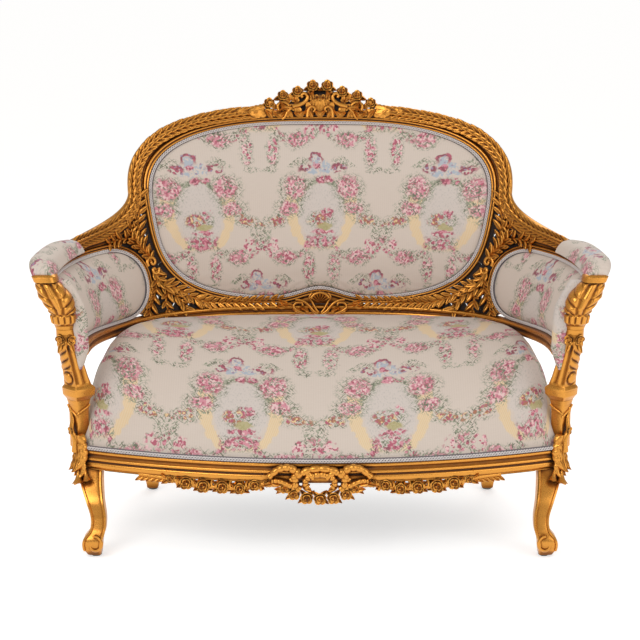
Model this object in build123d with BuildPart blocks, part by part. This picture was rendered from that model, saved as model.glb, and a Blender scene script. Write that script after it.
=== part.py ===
"""A carved and gilded two-seat settee with an oval back, open carving and upholstered arms.

Lengths are millimetres. X runs to the sitter's left, Y to the back, Z up. The origin is on the floor,
under the middle of the settee's box. The back and the arms lie on one curved surface that opens
outwards as it rises, and the function shell gives its points.
"""

import os
from bisect import bisect_left
from math import asin, atan, cos, degrees, exp, pi, sin, sqrt

from build123d import *

# Seat frame
SEAT_RAIL_TOP = 245
SEAT_RAIL_HEIGHT = 47
FRONT_RAIL_THICKNESS = 40
SIDE_RAIL_THICKNESS = 34
FRONT_RAIL_LEAD = 57
FRONT_BOW = 95
REAR_BOW = 55
BRACE_WIDTH = 40
BRACE_HEIGHT = 30

# Legs, measured from the line of the front feet
FRONT_LEG_BLOCK = 56
FRONT_LEG_X = 546
FRONT_LEG_Y = 48
FRONT_FOOT_X = 531
REAR_LEG_BLOCK = 44
REAR_LEG_X = 445
REAR_LEG_Y = 456
REAR_LEG_TOP = 36
REAR_FOOT_Y = 472
GLIDE_HEIGHT = 6

# Curved surface of the back and the arms
BOTTOM_RAIL_TOP = 478
BOTTOM_RAIL_HEIGHT = 28
SHELL_HALF_WIDTH = 560
SHELL_BACK = 587
ARM_FRONT = 60
ARM_FLARE = 0.40
BACK_RAKE = 0.20
SHELL_SQUARENESS = 2.8
MEASURE_HEIGHT = 600
FRAME_FRONT = -14
FRAME_REAR = 16

# Back
OVAL_HALF_WIDTH = 436
OVAL_HALF_HEIGHT = 232
OVAL_SQUARENESS = 3.0
RING_WIDTH = 13
KIDNEY_RISE = 27
KIDNEY_SPREAD = 75
BACK_CROWN = 42
CREST_TOP = 1060
CREST_HALF_RUN = 172
CREST_END_HEIGHT = 20
CREST_SPREAD = 88
CREST_THICKNESS = 26
TOP_RAIL_WIDTH = 32
SHOULDER_ANGLE = 1.47
SPANDREL_THICKNESS = 12
SHELL_CARVING_HALF = 95

# Arms
ARM_RAIL_RUN = 700
ARM_TOP = 658
ARM_END_RUN = 602
ARM_END_HALF = 118
ARM_RING_WIDTH = 11
ARM_CROWN = 36
ARM_OUTER_CROWN = 26
ARM_RAIL_HEIGHT = 18
ARM_RAIL_THICKNESS = 30
PAD_WIDTH = 74
PAD_HEIGHT = 44
POST_BLOCK_BASE = 366
POST_BLOCK_TOP = 400

# Seat upholstery
SEAT_HALF_FRONT = 534
SEAT_HALF_REAR = 412
SEAT_CROWN = 486
SEAT_PEAK = 0.9
DECK_HEIGHT = 300
SHEET = 2
GIMP_WIDTH = 12
GIMP_THICKNESS = 3
SPRING_RADIUS = 38
SPRING_WAIST = 24

# Apron carving
WREATH_HALF_WIDTH = 118
WREATH_HALF_HEIGHT = 46
WREATH_THICKNESS = 16
GARLAND_DROP = 28
GARLAND_START = 150
GARLAND_END = 425
ROSE_RADIUS = 14

CLEAR = 0.3
FIT = 1.0
FRONT_RADIUS = (SEAT_HALF_FRONT ** 2 + FRONT_BOW ** 2) / (2 * FRONT_BOW)
RAIL_BOTTOM = SEAT_RAIL_TOP - SEAT_RAIL_HEIGHT
BOTTOM_RAIL_BASE = BOTTOM_RAIL_TOP - BOTTOM_RAIL_HEIGHT
POST_CAP = ARM_TOP - 2
ARM_CORE_BASE = ARM_TOP + ARM_RING_WIDTH + CLEAR
ARM_CORE_TOP = ARM_CORE_BASE + ARM_RAIL_HEIGHT
OVAL_HEIGHT = BOTTOM_RAIL_TOP + CLEAR + RING_WIDTH + OVAL_HALF_HEIGHT
FRONT_EDGE = -FRONT_RAIL_LEAD - WREATH_THICKNESS - CLEAR
REAR_EDGE = SHELL_BACK + BACK_RAKE * (CREST_TOP - BOTTOM_RAIL_TOP) + CREST_THICKNESS / 2
FEET_LINE = -(FRONT_EDGE + REAR_EDGE) / 2


def power(value, exponent):
    """A signed power, for the squared-off ovals."""
    return abs(value) ** exponent * (1 if value >= 0 else -1)


def shell_at(angle, height):
    """A point of the curved surface by its plan angle from the back's middle and its height."""
    rise = height - BOTTOM_RAIL_TOP
    half = SHELL_HALF_WIDTH + ARM_FLARE * rise * abs(sin(angle))
    deep = SHELL_BACK + BACK_RAKE * rise - ARM_FRONT
    x = half * power(sin(angle), 2 / SHELL_SQUARENESS)
    y = ARM_FRONT + deep * power(cos(angle), 2 / SHELL_SQUARENESS)
    return Vector(x, FEET_LINE + y, height)


PLAN_STEPS = 600
PLAN_ANGLES = [pi / 2 * step / PLAN_STEPS for step in range(PLAN_STEPS + 1)]
PLAN_RUNS = [0.0]
for before, after in zip(PLAN_ANGLES, PLAN_ANGLES[1:]):
    stride = shell_at(after, MEASURE_HEIGHT) - shell_at(before, MEASURE_HEIGHT)
    PLAN_RUNS.append(PLAN_RUNS[-1] + stride.length)
ARM_FRONT_RUN = PLAN_RUNS[-1]


def plan_angle(run):
    """The plan angle at a distance along the surface from the back's middle."""
    place = min(max(bisect_left(PLAN_RUNS, abs(run)), 1), PLAN_STEPS)
    share = (abs(run) - PLAN_RUNS[place - 1]) / (PLAN_RUNS[place] - PLAN_RUNS[place - 1])
    angle = PLAN_ANGLES[place - 1] + share * (PLAN_ANGLES[place] - PLAN_ANGLES[place - 1])
    return angle if run >= 0 else -angle


def shell(run, height, out=0.0):
    """A point of the curved surface, moved outwards, away from the sitter.

    Past the arm's front end the surface runs straight on towards the front.
    """
    ahead = max(abs(run) - ARM_FRONT_RUN, 0)
    place = shell_at(plan_angle(max(min(run, ARM_FRONT_RUN), -ARM_FRONT_RUN)), height)
    return place + Vector(0, -ahead, 0) + shell_normal(run, height) * out


def shell_normal(run, height):
    """The outward direction of the curved surface, level in the plan."""
    near, far = min(run, ARM_FRONT_RUN) - 2, min(run, ARM_FRONT_RUN) + 2
    if far > ARM_FRONT_RUN:
        return Vector(1, 0, 0)
    if near < -ARM_FRONT_RUN:
        return Vector(-1, 0, 0)
    along = shell_at(plan_angle(far), height) - shell_at(plan_angle(near), height)
    return Vector(-along.Y, along.X, 0).normalized()


def band_section(inner, outer, profile):
    """One section of a band. The profile gives shares of its width and level distances outwards."""
    start, level = shell(*inner), shell_normal(*inner)
    across = shell(*outer) - start
    plane = Plane(origin=start, x_dir=across, z_dir=across.cross(level))
    corners = [plane.to_local_coords(start + across * share + level * out) for share, out in profile]
    with BuildSketch(plane) as section:
        Polygon(*[(corner.X, corner.Y) for corner in corners], align=None)
    return section.sketch


def upright_section(run, low, high, profile):
    """A section that stands upright past the arm's front end, from a low to a high level."""
    middle = shell(run, ARM_CORE_TOP)
    plane = Plane((middle.X, middle.Y, low), x_dir=(0, 0, 1), z_dir=(0, 1, 0))
    with BuildSketch(plane) as section:
        Polygon(*[(share * (high - low), out) for share, out in profile], align=None)
    return section.sketch


def between(low, high, share):
    """The share of the way from low to high."""
    return low + (high - low) * share


def spread(start, finish, steps):
    """Evenly spread values from start to finish, both included."""
    return [start + (finish - start) * step / steps for step in range(steps + 1)]


def oval(angle, grow=0.0):
    """A point of the back's oval, as run and height, from the top, widened by grow."""
    half_width, half_height = OVAL_HALF_WIDTH + grow, OVAL_HALF_HEIGHT + grow
    run = half_width * power(sin(angle), 2 / OVAL_SQUARENESS)
    height = OVAL_HEIGHT + half_height * power(cos(angle), 2 / OVAL_SQUARENESS)
    if cos(angle) < 0:
        height += KIDNEY_RISE * exp(-((run / KIDNEY_SPREAD) ** 2))
    return run, height


def oval_top(run, grow=0.0):
    """The height of the oval's upper edge at a run."""
    share = min(abs(run) / (OVAL_HALF_WIDTH + grow), 1)
    return OVAL_HEIGHT + (OVAL_HALF_HEIGHT + grow) * (1 - share ** OVAL_SQUARENESS) ** (1 / OVAL_SQUARENESS)


def oval_bottom(run, grow=0.0):
    """The height of the oval's lower edge at a run, with its rise in the middle."""
    rise = KIDNEY_RISE * exp(-((run / KIDNEY_SPREAD) ** 2))
    return 2 * OVAL_HEIGHT - oval_top(run, grow) + rise


def arm_end(angle, grow=0.0):
    """A point of the arm panel's round rear end, from the top round to the bottom."""
    half_height = (ARM_TOP - BOTTOM_RAIL_TOP) / 2
    run = ARM_END_RUN - (ARM_END_HALF + grow) * power(sin(angle), 0.9)
    return run, ARM_TOP - half_height + (half_height + grow) * power(cos(angle), 0.9)


def arm_span(run, grow=0.0):
    """The lower and upper edge of the arm panel at a run."""
    half_height = (ARM_TOP - BOTTOM_RAIL_TOP) / 2
    middle = ARM_TOP - half_height
    share = min(max(ARM_END_RUN - run, 0) / (ARM_END_HALF + grow), 1)
    reach = (half_height + grow) * (1 - share ** (2 / 0.9)) ** 0.45
    return middle - reach, middle + reach


def front_bow(x):
    """The front rail's face at a distance from the middle, from the line of the front feet."""
    return -FRONT_RAIL_LEAD + FRONT_RADIUS - sqrt(FRONT_RADIUS ** 2 - x ** 2)


def rear_bow(x):
    """The rear rail's outer face at a distance from the middle."""
    half = REAR_LEG_X - REAR_LEG_BLOCK / 2
    radius = (half ** 2 + REAR_BOW ** 2) / (2 * REAR_BOW)
    return REAR_LEG_Y + SIDE_RAIL_THICKNESS / 2 + REAR_BOW - radius + sqrt(radius ** 2 - x ** 2)


def seat_corners(inset):
    """The seat's front and rear corner on the left, drawn in by inset."""
    half_front, half_rear = SEAT_HALF_FRONT - inset, SEAT_HALF_REAR - inset
    return (half_front, front_bow(half_front) + inset), (half_rear, rear_bow(half_rear) - inset)


def seat_span(x, inset):
    """The seat's front and rear edge at a distance from the middle."""
    (half_front, front), (half_rear, rear) = seat_corners(inset)
    if abs(x) <= half_rear:
        return front_bow(x) + inset, rear_bow(x) - inset
    share = (abs(x) - half_rear) / (half_front - half_rear)
    return front_bow(x) + inset, rear + share * (front - rear)


def write(name, part):
    """Label a finished piece and write it."""
    part.label = name
    export_step(part, f"parts/{name}.step")


def write_pair(name, part):
    """Write the left piece, made at plus X, and its mirror on the right."""
    write(name + "_left", part)
    with BuildPart() as other:
        mirror(part, about=Plane.YZ)
    write(name + "_right", other.part)


def chamfered(x, y, wide, deep, cut):
    """The corners of a rectangle round a middle, with its four corners cut off."""
    near, far = wide / 2 - cut, deep / 2 - cut
    side = ((wide / 2, -far), (wide / 2, far), (near, deep / 2), (-near, deep / 2))
    return [(x + a, y + b) for a, b in side] + [(x - a, y - b) for a, b in side]


def seat_outline(inset):
    """The seat's outline in plan as one closed line, drawn in by inset."""
    (half_front, front), (half_rear, rear) = seat_corners(inset)
    ThreePointArc((-half_front, front), (0, front_bow(0) + inset), (half_front, front))
    Line((half_front, front), (half_rear, rear))
    ThreePointArc((half_rear, rear), (0, rear_bow(0) - inset), (-half_rear, rear))
    Line((-half_rear, rear), (-half_front, front))


def floor_plane(height):
    """A level plane at a height, with its origin on the line of the front feet."""
    return Plane.XY.offset(height).shift_origin((0, FEET_LINE, height))


os.makedirs("parts", exist_ok=True)

# Front rail: bowed, with a bead and two grooves along its face
GROOVE = 3
GROOVES = ((RAIL_BOTTOM + 12, 4), (RAIL_BOTTOM + 25, 4))
RAIL_HALF = FRONT_LEG_X - FRONT_LEG_BLOCK / 2
with BuildPart() as front_rail:
    with BuildSketch(floor_plane(RAIL_BOTTOM)):
        with BuildLine():
            end = front_bow(RAIL_HALF)
            ThreePointArc((-RAIL_HALF, end), (0, front_bow(0)), (RAIL_HALF, end))
            Line((RAIL_HALF, end), (RAIL_HALF, end + FRONT_RAIL_THICKNESS))
            back = end + FRONT_RAIL_THICKNESS
            ThreePointArc((RAIL_HALF, back), (0, front_bow(0) + FRONT_RAIL_THICKNESS), (-RAIL_HALF, back))
            Line((-RAIL_HALF, back), (-RAIL_HALF, end))
        make_face()
    extrude(amount=SEAT_RAIL_HEIGHT)
    for base, tall in GROOVES:
        with BuildSketch(floor_plane(base)):
            with BuildLine():
                near = end + GROOVE
                ThreePointArc((-RAIL_HALF, near), (0, front_bow(0) + GROOVE), (RAIL_HALF, near))
                Line((RAIL_HALF, near), (RAIL_HALF, end - FRONT_BOW * 2))
                Line((RAIL_HALF, end - FRONT_BOW * 2), (-RAIL_HALF, end - FRONT_BOW * 2))
                Line((-RAIL_HALF, end - FRONT_BOW * 2), (-RAIL_HALF, near))
            make_face()
        extrude(amount=tall, mode=Mode.SUBTRACT)
write("front_rail", front_rail.part)

# Rear rail, bowed to the back
REAR_HALF = REAR_LEG_X - REAR_LEG_BLOCK / 2
with BuildPart() as rear_rail:
    with BuildSketch(floor_plane(RAIL_BOTTOM)):
        with BuildLine():
            outer = rear_bow(REAR_HALF)
            inner = outer - SIDE_RAIL_THICKNESS
            ThreePointArc((-REAR_HALF, outer), (0, rear_bow(0)), (REAR_HALF, outer))
            Line((REAR_HALF, outer), (REAR_HALF, inner))
            ThreePointArc((REAR_HALF, inner), (0, rear_bow(0) - SIDE_RAIL_THICKNESS), (-REAR_HALF, inner))
            Line((-REAR_HALF, inner), (-REAR_HALF, outer))
        make_face()
    extrude(amount=SEAT_RAIL_HEIGHT)
write("rear_rail", rear_rail.part)

# Side rails, from leg to leg
SIDE_FRONT_Y = FRONT_LEG_Y + FRONT_LEG_BLOCK / 2
SIDE_REAR_Y = REAR_LEG_Y - REAR_LEG_BLOCK / 2
SIDE_SET = 20
SIDE_FRONT_X = FRONT_LEG_X - SIDE_SET
SIDE_REAR_X = REAR_LEG_X - SIDE_SET - 2
HALF_SIDE = SIDE_RAIL_THICKNESS / 2
with BuildPart() as side_rail:
    with BuildSketch(floor_plane(RAIL_BOTTOM)):
        Polygon(
            (SIDE_FRONT_X - HALF_SIDE, SIDE_FRONT_Y),
            (SIDE_FRONT_X + HALF_SIDE, SIDE_FRONT_Y),
            (SIDE_REAR_X + HALF_SIDE, SIDE_REAR_Y),
            (SIDE_REAR_X - HALF_SIDE, SIDE_REAR_Y),
            align=None,
        )
    extrude(amount=SEAT_RAIL_HEIGHT)
write_pair("side_rail", side_rail.part)

# Seat brace, from the front rail to the rear rail under the springs' row
BRACE_FRONT = front_bow(BRACE_WIDTH / 2) + FRONT_RAIL_THICKNESS + CLEAR
BRACE_REAR = rear_bow(BRACE_WIDTH / 2) - SIDE_RAIL_THICKNESS - CLEAR
with BuildPart() as seat_brace:
    with BuildSketch(floor_plane(RAIL_BOTTOM)):
        with Locations((0, (BRACE_FRONT + BRACE_REAR) / 2)):
            Rectangle(BRACE_WIDTH, BRACE_REAR - BRACE_FRONT)
    extrude(amount=BRACE_HEIGHT)
write("seat_brace", seat_brace.part)

# Front legs: a square block at the rail, a bent shank and a scroll foot
FRONT_LEG_STATIONS = (
    (RAIL_BOTTOM, 0, 0, FRONT_LEG_BLOCK, FRONT_LEG_BLOCK),
    (RAIL_BOTTOM * 0.85, -3, -8, 52, 56),
    (RAIL_BOTTOM * 0.66, -11, -23, 41, 44),
    (RAIL_BOTTOM * 0.48, -16, -37, 35, 38),
    (RAIL_BOTTOM * 0.34, -16, -46, 36, 42),
    (RAIL_BOTTOM * 0.23, -14, -52, 45, 56),
    (RAIL_BOTTOM * 0.12, -14, -51, 44, 54),
    (GLIDE_HEIGHT, FRONT_FOOT_X - FRONT_LEG_X, -FRONT_LEG_Y, 33, 38),
)
LEG_CHAMFER = 8
with BuildPart() as front_leg:
    for height, aside, ahead, wide, deep in FRONT_LEG_STATIONS:
        with BuildSketch(floor_plane(height)):
            corners = chamfered(FRONT_LEG_X + aside, FRONT_LEG_Y + ahead, wide, deep, LEG_CHAMFER)
            Polygon(*corners, align=None)
    loft(ruled=True)
    with BuildSketch(floor_plane(RAIL_BOTTOM)):
        with Locations((FRONT_LEG_X, FRONT_LEG_Y)):
            Rectangle(FRONT_LEG_BLOCK, FRONT_LEG_BLOCK)
    extrude(amount=SEAT_RAIL_HEIGHT)
write_pair("front_leg", front_leg.part)

# Rear legs: they sweep back to the foot, and rise past the seat to the back's bottom rail
REAR_LEG_STATIONS = (
    (BOTTOM_RAIL_BASE, -6, REAR_LEG_TOP, REAR_LEG_TOP),
    (between(SEAT_RAIL_TOP, BOTTOM_RAIL_BASE, 0.45), -5, REAR_LEG_TOP, REAR_LEG_TOP),
    (SEAT_RAIL_TOP, 0, REAR_LEG_BLOCK, REAR_LEG_BLOCK),
    (RAIL_BOTTOM, 0, REAR_LEG_BLOCK, REAR_LEG_BLOCK),
    (RAIL_BOTTOM * 0.66, 2, 36, 38),
    (RAIL_BOTTOM * 0.35, 9, 29, 30),
    (RAIL_BOTTOM * 0.13, 15, 34, 36),
    (GLIDE_HEIGHT, REAR_FOOT_Y - REAR_LEG_Y, 29, 31),
)
REAR_LEG_CHAMFER = 3
with BuildPart() as rear_leg:
    for height, behind, wide, deep in REAR_LEG_STATIONS:
        with BuildSketch(floor_plane(height)):
            Polygon(*chamfered(REAR_LEG_X, REAR_LEG_Y + behind, wide, deep, REAR_LEG_CHAMFER), align=None)
    loft(ruled=True)
write_pair("rear_leg", rear_leg.part)

# Glides under the four feet
FEET = (
    (FRONT_FOOT_X, 0),
    (-FRONT_FOOT_X, 0),
    (REAR_LEG_X, REAR_FOOT_Y),
    (-REAR_LEG_X, REAR_FOOT_Y),
)
GLIDE_RADIUS = 13
with BuildPart() as foot_glides:
    with BuildSketch(floor_plane(0)):
        with Locations(*FEET):
            Circle(GLIDE_RADIUS)
    extrude(amount=GLIDE_HEIGHT)
    chamfer(foot_glides.edges().group_by(Axis.Z)[0], 2)
write("foot_glides", foot_glides.part)

# Corner blocks, glued and screwed inside the frame's corners
BLOCK_LEG = 95
BLOCK_HEIGHT = 32
BLOCK_BASE = RAIL_BOTTOM + 6
SCREW_RADIUS = 4
SCREW_HEAD = 8
SCREW_HEAD_HEIGHT = 4


def side_inner(y):
    """The side rail's inner face at a depth."""
    share = (y - SIDE_FRONT_Y) / (SIDE_REAR_Y - SIDE_FRONT_Y)
    return SIDE_FRONT_X - HALF_SIDE + share * (SIDE_REAR_X - SIDE_FRONT_X)


def front_inner(x):
    """The front rail's inner face at a distance from the middle."""
    return front_bow(x) + FRONT_RAIL_THICKNESS


def rear_inner(x):
    """The rear rail's inner face at a distance from the middle."""
    return rear_bow(x) - SIDE_RAIL_THICKNESS


FRONT_BLOCK_LINE = (
    (RAIL_HALF - BLOCK_LEG, front_inner(RAIL_HALF - BLOCK_LEG) + CLEAR),
    (RAIL_HALF - CLEAR, front_inner(RAIL_HALF) + CLEAR),
    (RAIL_HALF - CLEAR, SIDE_FRONT_Y - CLEAR),
    (side_inner(SIDE_FRONT_Y) - CLEAR, SIDE_FRONT_Y - CLEAR),
    (side_inner(SIDE_FRONT_Y + BLOCK_LEG) - CLEAR, SIDE_FRONT_Y + BLOCK_LEG),
)
REAR_BLOCK_LINE = (
    (REAR_HALF - BLOCK_LEG, rear_inner(REAR_HALF - BLOCK_LEG) - CLEAR),
    (REAR_HALF - CLEAR, rear_inner(REAR_HALF) - CLEAR),
    (REAR_HALF - CLEAR, SIDE_REAR_Y + CLEAR),
    (side_inner(SIDE_REAR_Y) - CLEAR, SIDE_REAR_Y + CLEAR),
    (side_inner(SIDE_REAR_Y - BLOCK_LEG) - CLEAR, SIDE_REAR_Y - BLOCK_LEG),
)


def screw_plane(line):
    """The plane on a corner block's long face, looking into the corner."""
    first, last = Vector(*line[0]), Vector(*line[-1])
    middle = (first + last) * 0.5
    corner = Vector(*line[2])
    along = (last - first).normalized()
    inward = Vector(along.Y, -along.X)
    if inward.dot(corner - middle) < 0:
        inward = inward * -1
    origin = Vector(middle.X, FEET_LINE + middle.Y, BLOCK_BASE + BLOCK_HEIGHT / 2)
    return Plane(origin=origin, x_dir=(0, 0, 1), z_dir=inward)


def screw_length(line):
    """The length of a screw, which ends inside its corner block."""
    first, last, corner = Vector(*line[0]), Vector(*line[-1]), Vector(*line[2])
    along = (last - first).normalized()
    reach = corner - first
    return abs(reach.X * along.Y - reach.Y * along.X) * 0.45


with BuildPart() as corner_blocks:
    for line in (FRONT_BLOCK_LINE, REAR_BLOCK_LINE):
        with BuildSketch(floor_plane(BLOCK_BASE)):
            Polygon(*line, align=None)
    extrude(amount=BLOCK_HEIGHT)
    for line in (FRONT_BLOCK_LINE, REAR_BLOCK_LINE):
        with BuildSketch(screw_plane(line)):
            Circle(SCREW_RADIUS + CLEAR)
        extrude(amount=BLOCK_LEG * 2, mode=Mode.SUBTRACT)
    mirror(about=Plane.YZ)
write("corner_blocks", corner_blocks.part)

# Screws of the corner blocks
with BuildPart() as corner_screws:
    for line in (FRONT_BLOCK_LINE, REAR_BLOCK_LINE):
        plane = screw_plane(line)
        with BuildSketch(plane):
            Circle(SCREW_RADIUS)
        extrude(amount=screw_length(line))
        with BuildSketch(plane.offset(-SCREW_HEAD_HEIGHT)):
            RegularPolygon(SCREW_HEAD, 8)
        extrude(amount=SCREW_HEAD_HEIGHT)
    mirror(about=Plane.YZ)
write("corner_screws", corner_screws.part)

# Webbing tacked under the rails, as one lattice of crossing straps
STRAP = 50
STRAP_INSET = 22
STRAPS_X = [SEAT_HALF_REAR * share for share in (-0.93, -0.58, -0.19, 0.19, 0.58, 0.93)]
STRAPS_Y = [REAR_LEG_Y * share for share in (0.27, 0.52, 0.76)]
WEBBING_TOP = RAIL_BOTTOM
with BuildPart() as seat_webbing:
    with BuildSketch(floor_plane(WEBBING_TOP - SHEET)):
        for x in STRAPS_X:
            front, rear = front_bow(x) + STRAP_INSET, rear_bow(x) - STRAP_INSET
            with Locations((x, (front + rear) / 2)):
                Rectangle(STRAP, rear - front)
        for y in STRAPS_Y:
            with Locations((0, y)):
                Rectangle(2 * (side_inner(y) + STRAP_INSET), STRAP)
    extrude(amount=SHEET)
write("seat_webbing", seat_webbing.part)

# Springs standing on the webbing, drawn in at the waist
SPRING_X = STRAPS_X[1:-1]
SPRING_Y = STRAPS_Y
SPRING_PLACES = [(x, y) for x in SPRING_X for y in SPRING_Y]
SPRING_SIDES = 8
SPRING_HALF = (DECK_HEIGHT - WEBBING_TOP) / 2
SPRING_TAPER = degrees(atan((SPRING_RADIUS - SPRING_WAIST) * cos(pi / SPRING_SIDES) / SPRING_HALF))
with BuildPart() as seat_springs:
    for inset, mode in ((0, Mode.ADD), (SHEET, Mode.SUBTRACT)):
        with BuildSketch(floor_plane(WEBBING_TOP)):
            with Locations(*SPRING_PLACES):
                RegularPolygon(SPRING_RADIUS - inset, SPRING_SIDES)
        extrude(amount=SPRING_HALF, taper=SPRING_TAPER, mode=mode)
    mirror(about=Plane.XY.offset(WEBBING_TOP + SPRING_HALF))
write("seat_springs", seat_springs.part)

# Deck: burlap stretched over the springs and tacked to the rails
DECK_EDGE = 24
DECK_SHOULDER = 110
with BuildPart() as seat_deck:
    for inset, height in ((DECK_EDGE, SEAT_RAIL_TOP), (DECK_SHOULDER, DECK_HEIGHT + SHEET)):
        with BuildSketch(floor_plane(height)):
            with BuildLine():
                seat_outline(inset)
            make_face()
    loft(ruled=True)
    for inset, height in ((DECK_EDGE + SHEET, SEAT_RAIL_TOP), (DECK_SHOULDER + SHEET, DECK_HEIGHT)):
        with BuildSketch(floor_plane(height)):
            with BuildLine():
                seat_outline(inset)
            make_face()
    loft(ruled=True, mode=Mode.SUBTRACT)
write("seat_deck", seat_deck.part)

# Seat cushion: a high crowned dome, steep at the sides and fullest towards the back
SEAT_SLICES = (-0.99, -0.97, -0.93, -0.86, -0.77, -0.6, -0.35, 0, 0.35, 0.6, 0.77, 0.86, 0.93, 0.97, 0.99)
SEAT_STEPS = (0, 0.02, 0.06, 0.14, 0.26, 0.42, 0.6, 0.78, 0.88, 0.95, 0.985, 1)
GIMP_INSET = 4
SEAT_INSET = GIMP_INSET + GIMP_THICKNESS + FIT
DOME_SIDE = 11
DOME_FRONT = 2.3


def dome(share):
    """The height of the seat's dome, from 0 to 1, at a share of its depth."""
    if share < SEAT_PEAK:
        return (1 - (1 - share / SEAT_PEAK) ** DOME_FRONT) ** 0.85
    return sqrt(max(1 - ((share - SEAT_PEAK) / (1 - SEAT_PEAK)) ** 2, 0))


with BuildPart() as seat_cushion:
    half = SEAT_HALF_FRONT - SEAT_INSET
    for slice_share in SEAT_SLICES:
        x = slice_share * half
        front, rear = seat_span(x, SEAT_INSET)
        rise = (SEAT_CROWN - SEAT_RAIL_TOP) * sqrt(1 - abs(slice_share) ** DOME_SIDE)
        line = [(front + step * (rear - front), rise * dome(step)) for step in SEAT_STEPS]
        with BuildSketch(Plane((x, FEET_LINE, SEAT_RAIL_TOP), x_dir=(0, 1, 0), z_dir=(1, 0, 0))):
            Polygon(*line, align=None)
    loft(ruled=True)
    room = DECK_EDGE - CLEAR, DECK_SHOULDER - CLEAR
    for inset, height in zip(room, (SEAT_RAIL_TOP, DECK_HEIGHT + SHEET + CLEAR)):
        with BuildSketch(floor_plane(height)):
            with BuildLine():
                seat_outline(inset)
            make_face()
    loft(ruled=True, mode=Mode.SUBTRACT)
write("seat_cushion", seat_cushion.part)

# Gimp braid along the seat's lower edge
with BuildPart() as seat_gimp:
    with BuildSketch(floor_plane(SEAT_RAIL_TOP)):
        with BuildLine():
            seat_outline(GIMP_INSET)
        make_face()
        with BuildLine():
            seat_outline(GIMP_INSET + GIMP_THICKNESS)
        make_face(mode=Mode.SUBTRACT)
    extrude(amount=GIMP_WIDTH)
write("seat_gimp", seat_gimp.part)

# Dust cover under the seat, cut out round the legs
COVER_INSET = 12
FRONT_LEG_ROOM = 14
REAR_LEG_ROOM = 4
COVER_TOP = WEBBING_TOP - SHEET
with BuildPart() as dust_cover:
    with BuildSketch(floor_plane(COVER_TOP - SHEET)):
        with BuildLine():
            seat_outline(COVER_INSET)
        make_face()
        with Locations((FRONT_LEG_X, FRONT_LEG_Y), (-FRONT_LEG_X, FRONT_LEG_Y)):
            Rectangle(FRONT_LEG_BLOCK + FRONT_LEG_ROOM, FRONT_LEG_BLOCK + FRONT_LEG_ROOM, mode=Mode.SUBTRACT)
        with Locations((REAR_LEG_X, REAR_LEG_Y), (-REAR_LEG_X, REAR_LEG_Y)):
            Rectangle(REAR_LEG_BLOCK + REAR_LEG_ROOM, REAR_LEG_BLOCK + REAR_LEG_ROOM, mode=Mode.SUBTRACT)
    extrude(amount=SHEET)
write("dust_cover", dust_cover.part)

# Arm posts: square at the leg, a flared block, then a leaning stem with cuff, leaf and cap
POST_SQUARE = 34
POST_X = FRONT_LEG_X + 10
POST_FOOT_STATIONS = (
    (SEAT_RAIL_TOP, POST_SQUARE, POST_SQUARE),
    (POST_BLOCK_BASE - 6, POST_SQUARE, POST_SQUARE),
    (POST_BLOCK_BASE + 2, 48, 46),
    (POST_BLOCK_TOP - 8, 52, 50),
)
POST_STEM_STATIONS = (
    (0.016, 42, 40),
    (0.195, 40, 34),
    (0.36, 40, 33),
    (0.414, 50, 42),
    (0.477, 48, 42),
    (0.523, 39, 34),
    (0.578, 46, 40),
    (0.672, 50, 42),
    (0.711, 46, 38),
    (0.828, 62, 44),
    (0.94, 66, 46),
    (1, 60, 42),
)


def post_x(height):
    """The middle of a post at a height: upright over the leg, then along the arm's flare."""
    return max(POST_X, shell_at(pi / 2, height).X)


POST_CHAMFER = 4
with BuildPart() as arm_post:
    stations = list(POST_FOOT_STATIONS)
    for share, wide, deep in POST_STEM_STATIONS:
        stations.append((between(POST_BLOCK_TOP, POST_CAP, share), wide, deep))
    for height, wide, deep in stations:
        with BuildSketch(floor_plane(height)):
            Polygon(*chamfered(post_x(height), ARM_FRONT - deep / 2, wide, deep, POST_CHAMFER), align=None)
    loft(ruled=True)
write_pair("arm_post", arm_post.part)

# Bottom rails of the back and the arms, with a double moulding in front
RAIL_JOINT_RUN = 550
MOULDED = (
    (0, FRAME_REAR),
    (BOTTOM_RAIL_HEIGHT, FRAME_REAR),
    (BOTTOM_RAIL_HEIGHT, -9),
    (BOTTOM_RAIL_HEIGHT - 5, -14),
    (BOTTOM_RAIL_HEIGHT - 11, -12),
    (BOTTOM_RAIL_HEIGHT - 14, -9),
    (BOTTOM_RAIL_HEIGHT - 17, -12),
    (5, -15),
    (0, -11),
)


def rail_section(run):
    """One upright section of the bottom rail."""
    level = shell_normal(run, BOTTOM_RAIL_BASE)
    plane = Plane(shell(run, BOTTOM_RAIL_BASE), x_dir=(0, 0, 1), z_dir=Vector(0, 0, 1).cross(level))
    with BuildSketch(plane) as section:
        Polygon(*MOULDED, align=None)
    return section.sketch


BACK_RAIL_STEPS = 16
with BuildPart() as back_bottom_rail:
    runs = spread(-RAIL_JOINT_RUN, RAIL_JOINT_RUN, BACK_RAIL_STEPS)
    loft([rail_section(run) for run in runs], ruled=True)
write("back_bottom_rail", back_bottom_rail.part)

ARM_STEPS = 9
with BuildPart() as arm_bottom_rail:
    runs = spread(RAIL_JOINT_RUN + CLEAR, ARM_FRONT_RUN, ARM_STEPS)
    loft([rail_section(run) for run in runs], ruled=True)
write_pair("arm_bottom_rail", arm_bottom_rail.part)

# Ring mouldings round the back's oval, in two halves
RING_PROFILE = (
    (0, FRAME_REAR),
    (1, FRAME_REAR),
    (1, FRAME_FRONT + 7),
    (0.75, FRAME_FRONT),
    (0.3, FRAME_FRONT),
    (0, FRAME_FRONT + 5),
)
FLAT_SHARE = 0.68
FLAT_STEPS = 8
END_STEPS = 16


def oval_angle(run, grow=0.0):
    """The oval's angle at a run on its upper half."""
    return asin(power(run / (OVAL_HALF_WIDTH + grow), OVAL_SQUARENESS / 2))


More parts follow.
